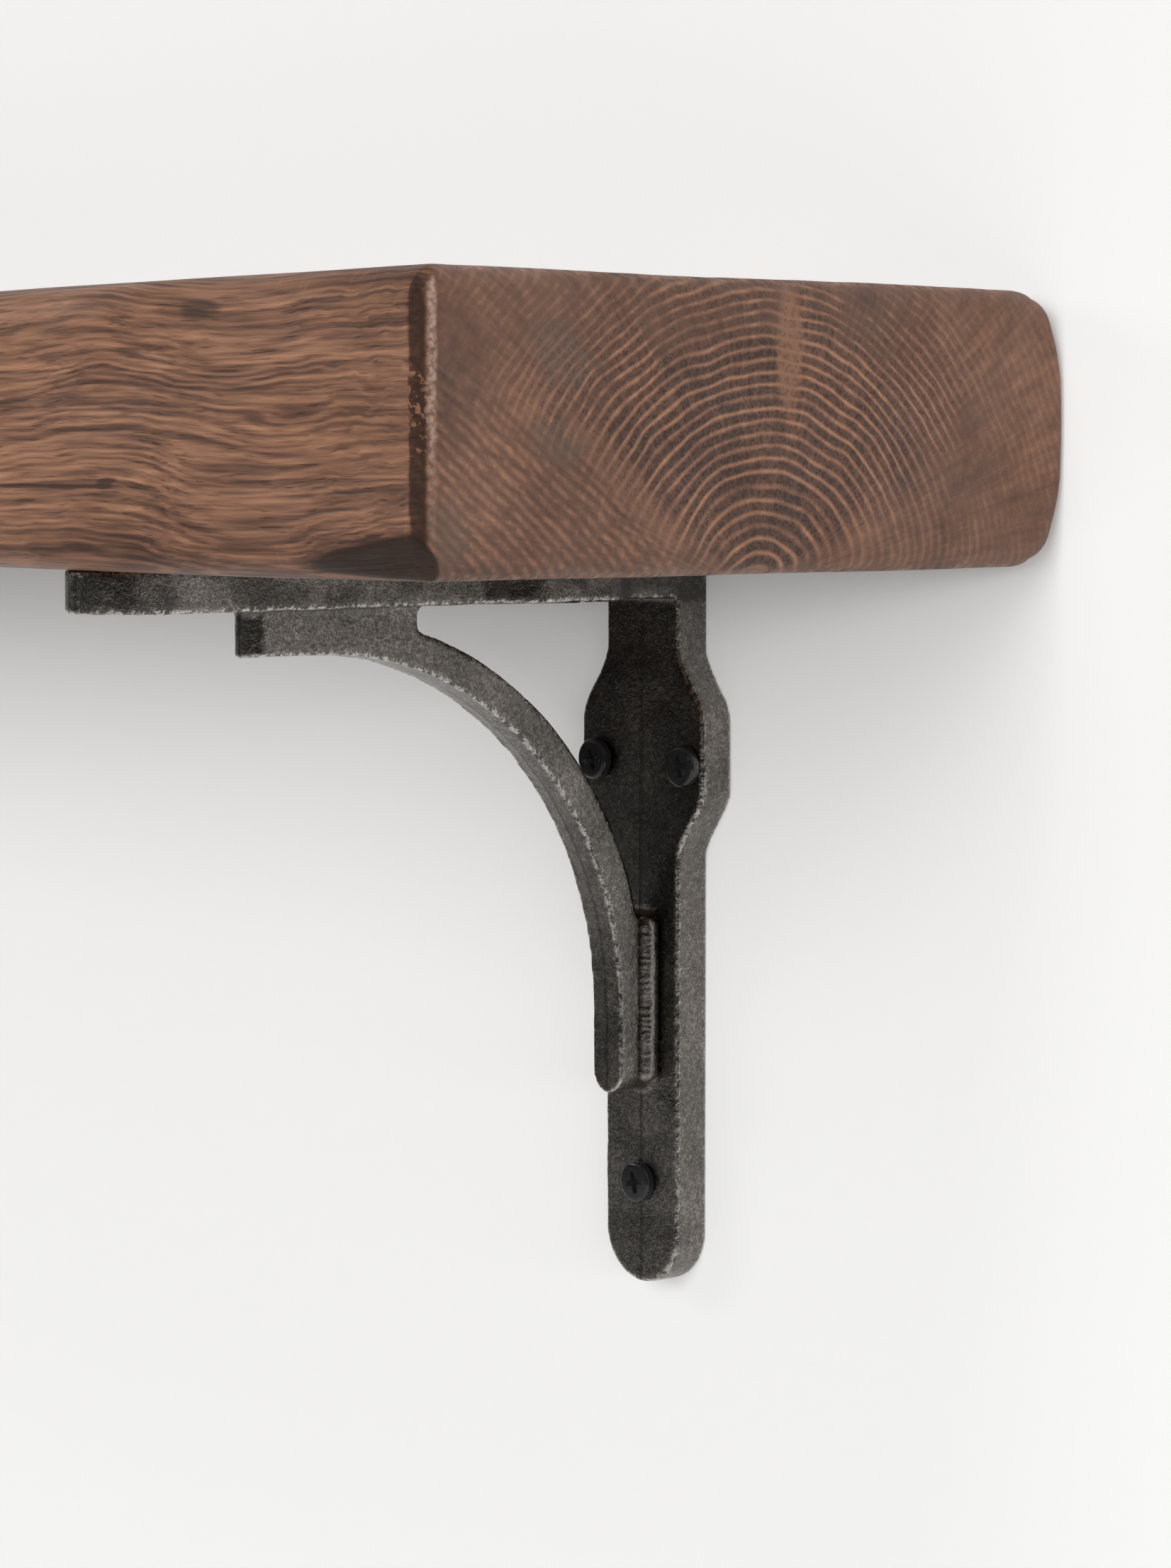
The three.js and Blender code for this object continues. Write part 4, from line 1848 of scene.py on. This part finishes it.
    @staticmethod
    def _bearing(azimuth: float, elevation: float) -> Vector:
        """Give a direction.

        Args:
            azimuth: Degrees to the right of straight out of the wall.
            elevation: Degrees above level.

        Returns:
            The direction.
        """
        turn, rise = math.radians(azimuth), math.radians(elevation)
        return Vector(
            (math.sin(turn) * math.cos(rise), -math.cos(turn) * math.cos(rise), math.sin(rise))
        )

    def _far_light(
        self, name: str, azimuth: float, elevation: float, spread: float, power: float
    ) -> None:
        """Add a broad, distant light that gives no mirror image of itself.

        Args:
            name: The light's name.
            azimuth: Its bearing, in degrees.
            elevation: Its height, in degrees.
            spread: How broad it looks, in degrees.
            power: Its strength, in watts a square metre.
        """
        data = bpy.data.lights.new(name, "SUN")
        data.energy = power
        data.angle = math.radians(spread)
        self._hung(name, data, self._bearing(azimuth, elevation), 2.0)
        bpy.data.objects[name].visible_glossy = False

    def _panel(
        self,
        name: str,
        bearing: tuple[float, float],
        distance: float,
        size: tuple[float, float],
        power: float,
        mirrored: bool,
    ) -> None:
        """Add a flat lamp.

        Args:
            name: The lamp's name.
            bearing: Its azimuth and elevation, in degrees.
            distance: How far away it hangs.
            size: Its width and height.
            power: Its power, in watts.
            mirrored: Whether the metal shows its mirror image.
        """
        data = bpy.data.lights.new(name, "AREA")
        data.shape = "RECTANGLE"
        data.size, data.size_y = size
        data.energy = power
        self._hung(name, data, self._bearing(*bearing), distance)
        lamp = bpy.data.objects[name]
        lamp.visible_camera = False
        lamp.visible_glossy = mirrored

    def _camera(self) -> None:
        """Place the camera ahead of the shelf's right-hand end."""
        low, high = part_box(self.board_node)
        data = bpy.data.cameras.new("camera")
        data.lens = self.lens
        camera = bpy.data.objects.new("camera", data)
        camera.location = (
            high.x + self.eye_past_end,
            high.y - self.eye_from_wall,
            low.z + self.eye_above_underside,
        )
        camera.rotation_euler = (math.radians(self.eye_pitch), 0.0, math.radians(self.eye_turn))
        bpy.context.scene.collection.objects.link(camera)
        bpy.context.scene.camera = camera
        bpy.context.scene.view_settings.view_transform = "Standard"


def main() -> None:
    """Build the shelf's looks, piece by piece."""
    logging.basicConfig(level=logging.INFO, format="%(name)s %(message)s")
    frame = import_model()
    Studio().build()
    iron = CastIron().material()
    # A lighter copy of the iron for the beads: painted light for the light the beads catch.
    lit_bead_iron = CastIron(
        "iron_painted_lighter",
        dark=(0.14, 0.128, 0.116),
        mid=(0.27, 0.248, 0.228),
        bright=(0.46, 0.43, 0.40),
    ).material()
    coating = BlackScrewFinish().material()
    nylon = NylonFinish().material()
    ShelfBoard(StainedTimber()).build()
    for side in Side:
        Bracket(side, iron, lit_bead_iron).build(frame["nodes"])
        Fixings(side, coating, nylon).build()


if __name__ == "__main__":
    main()
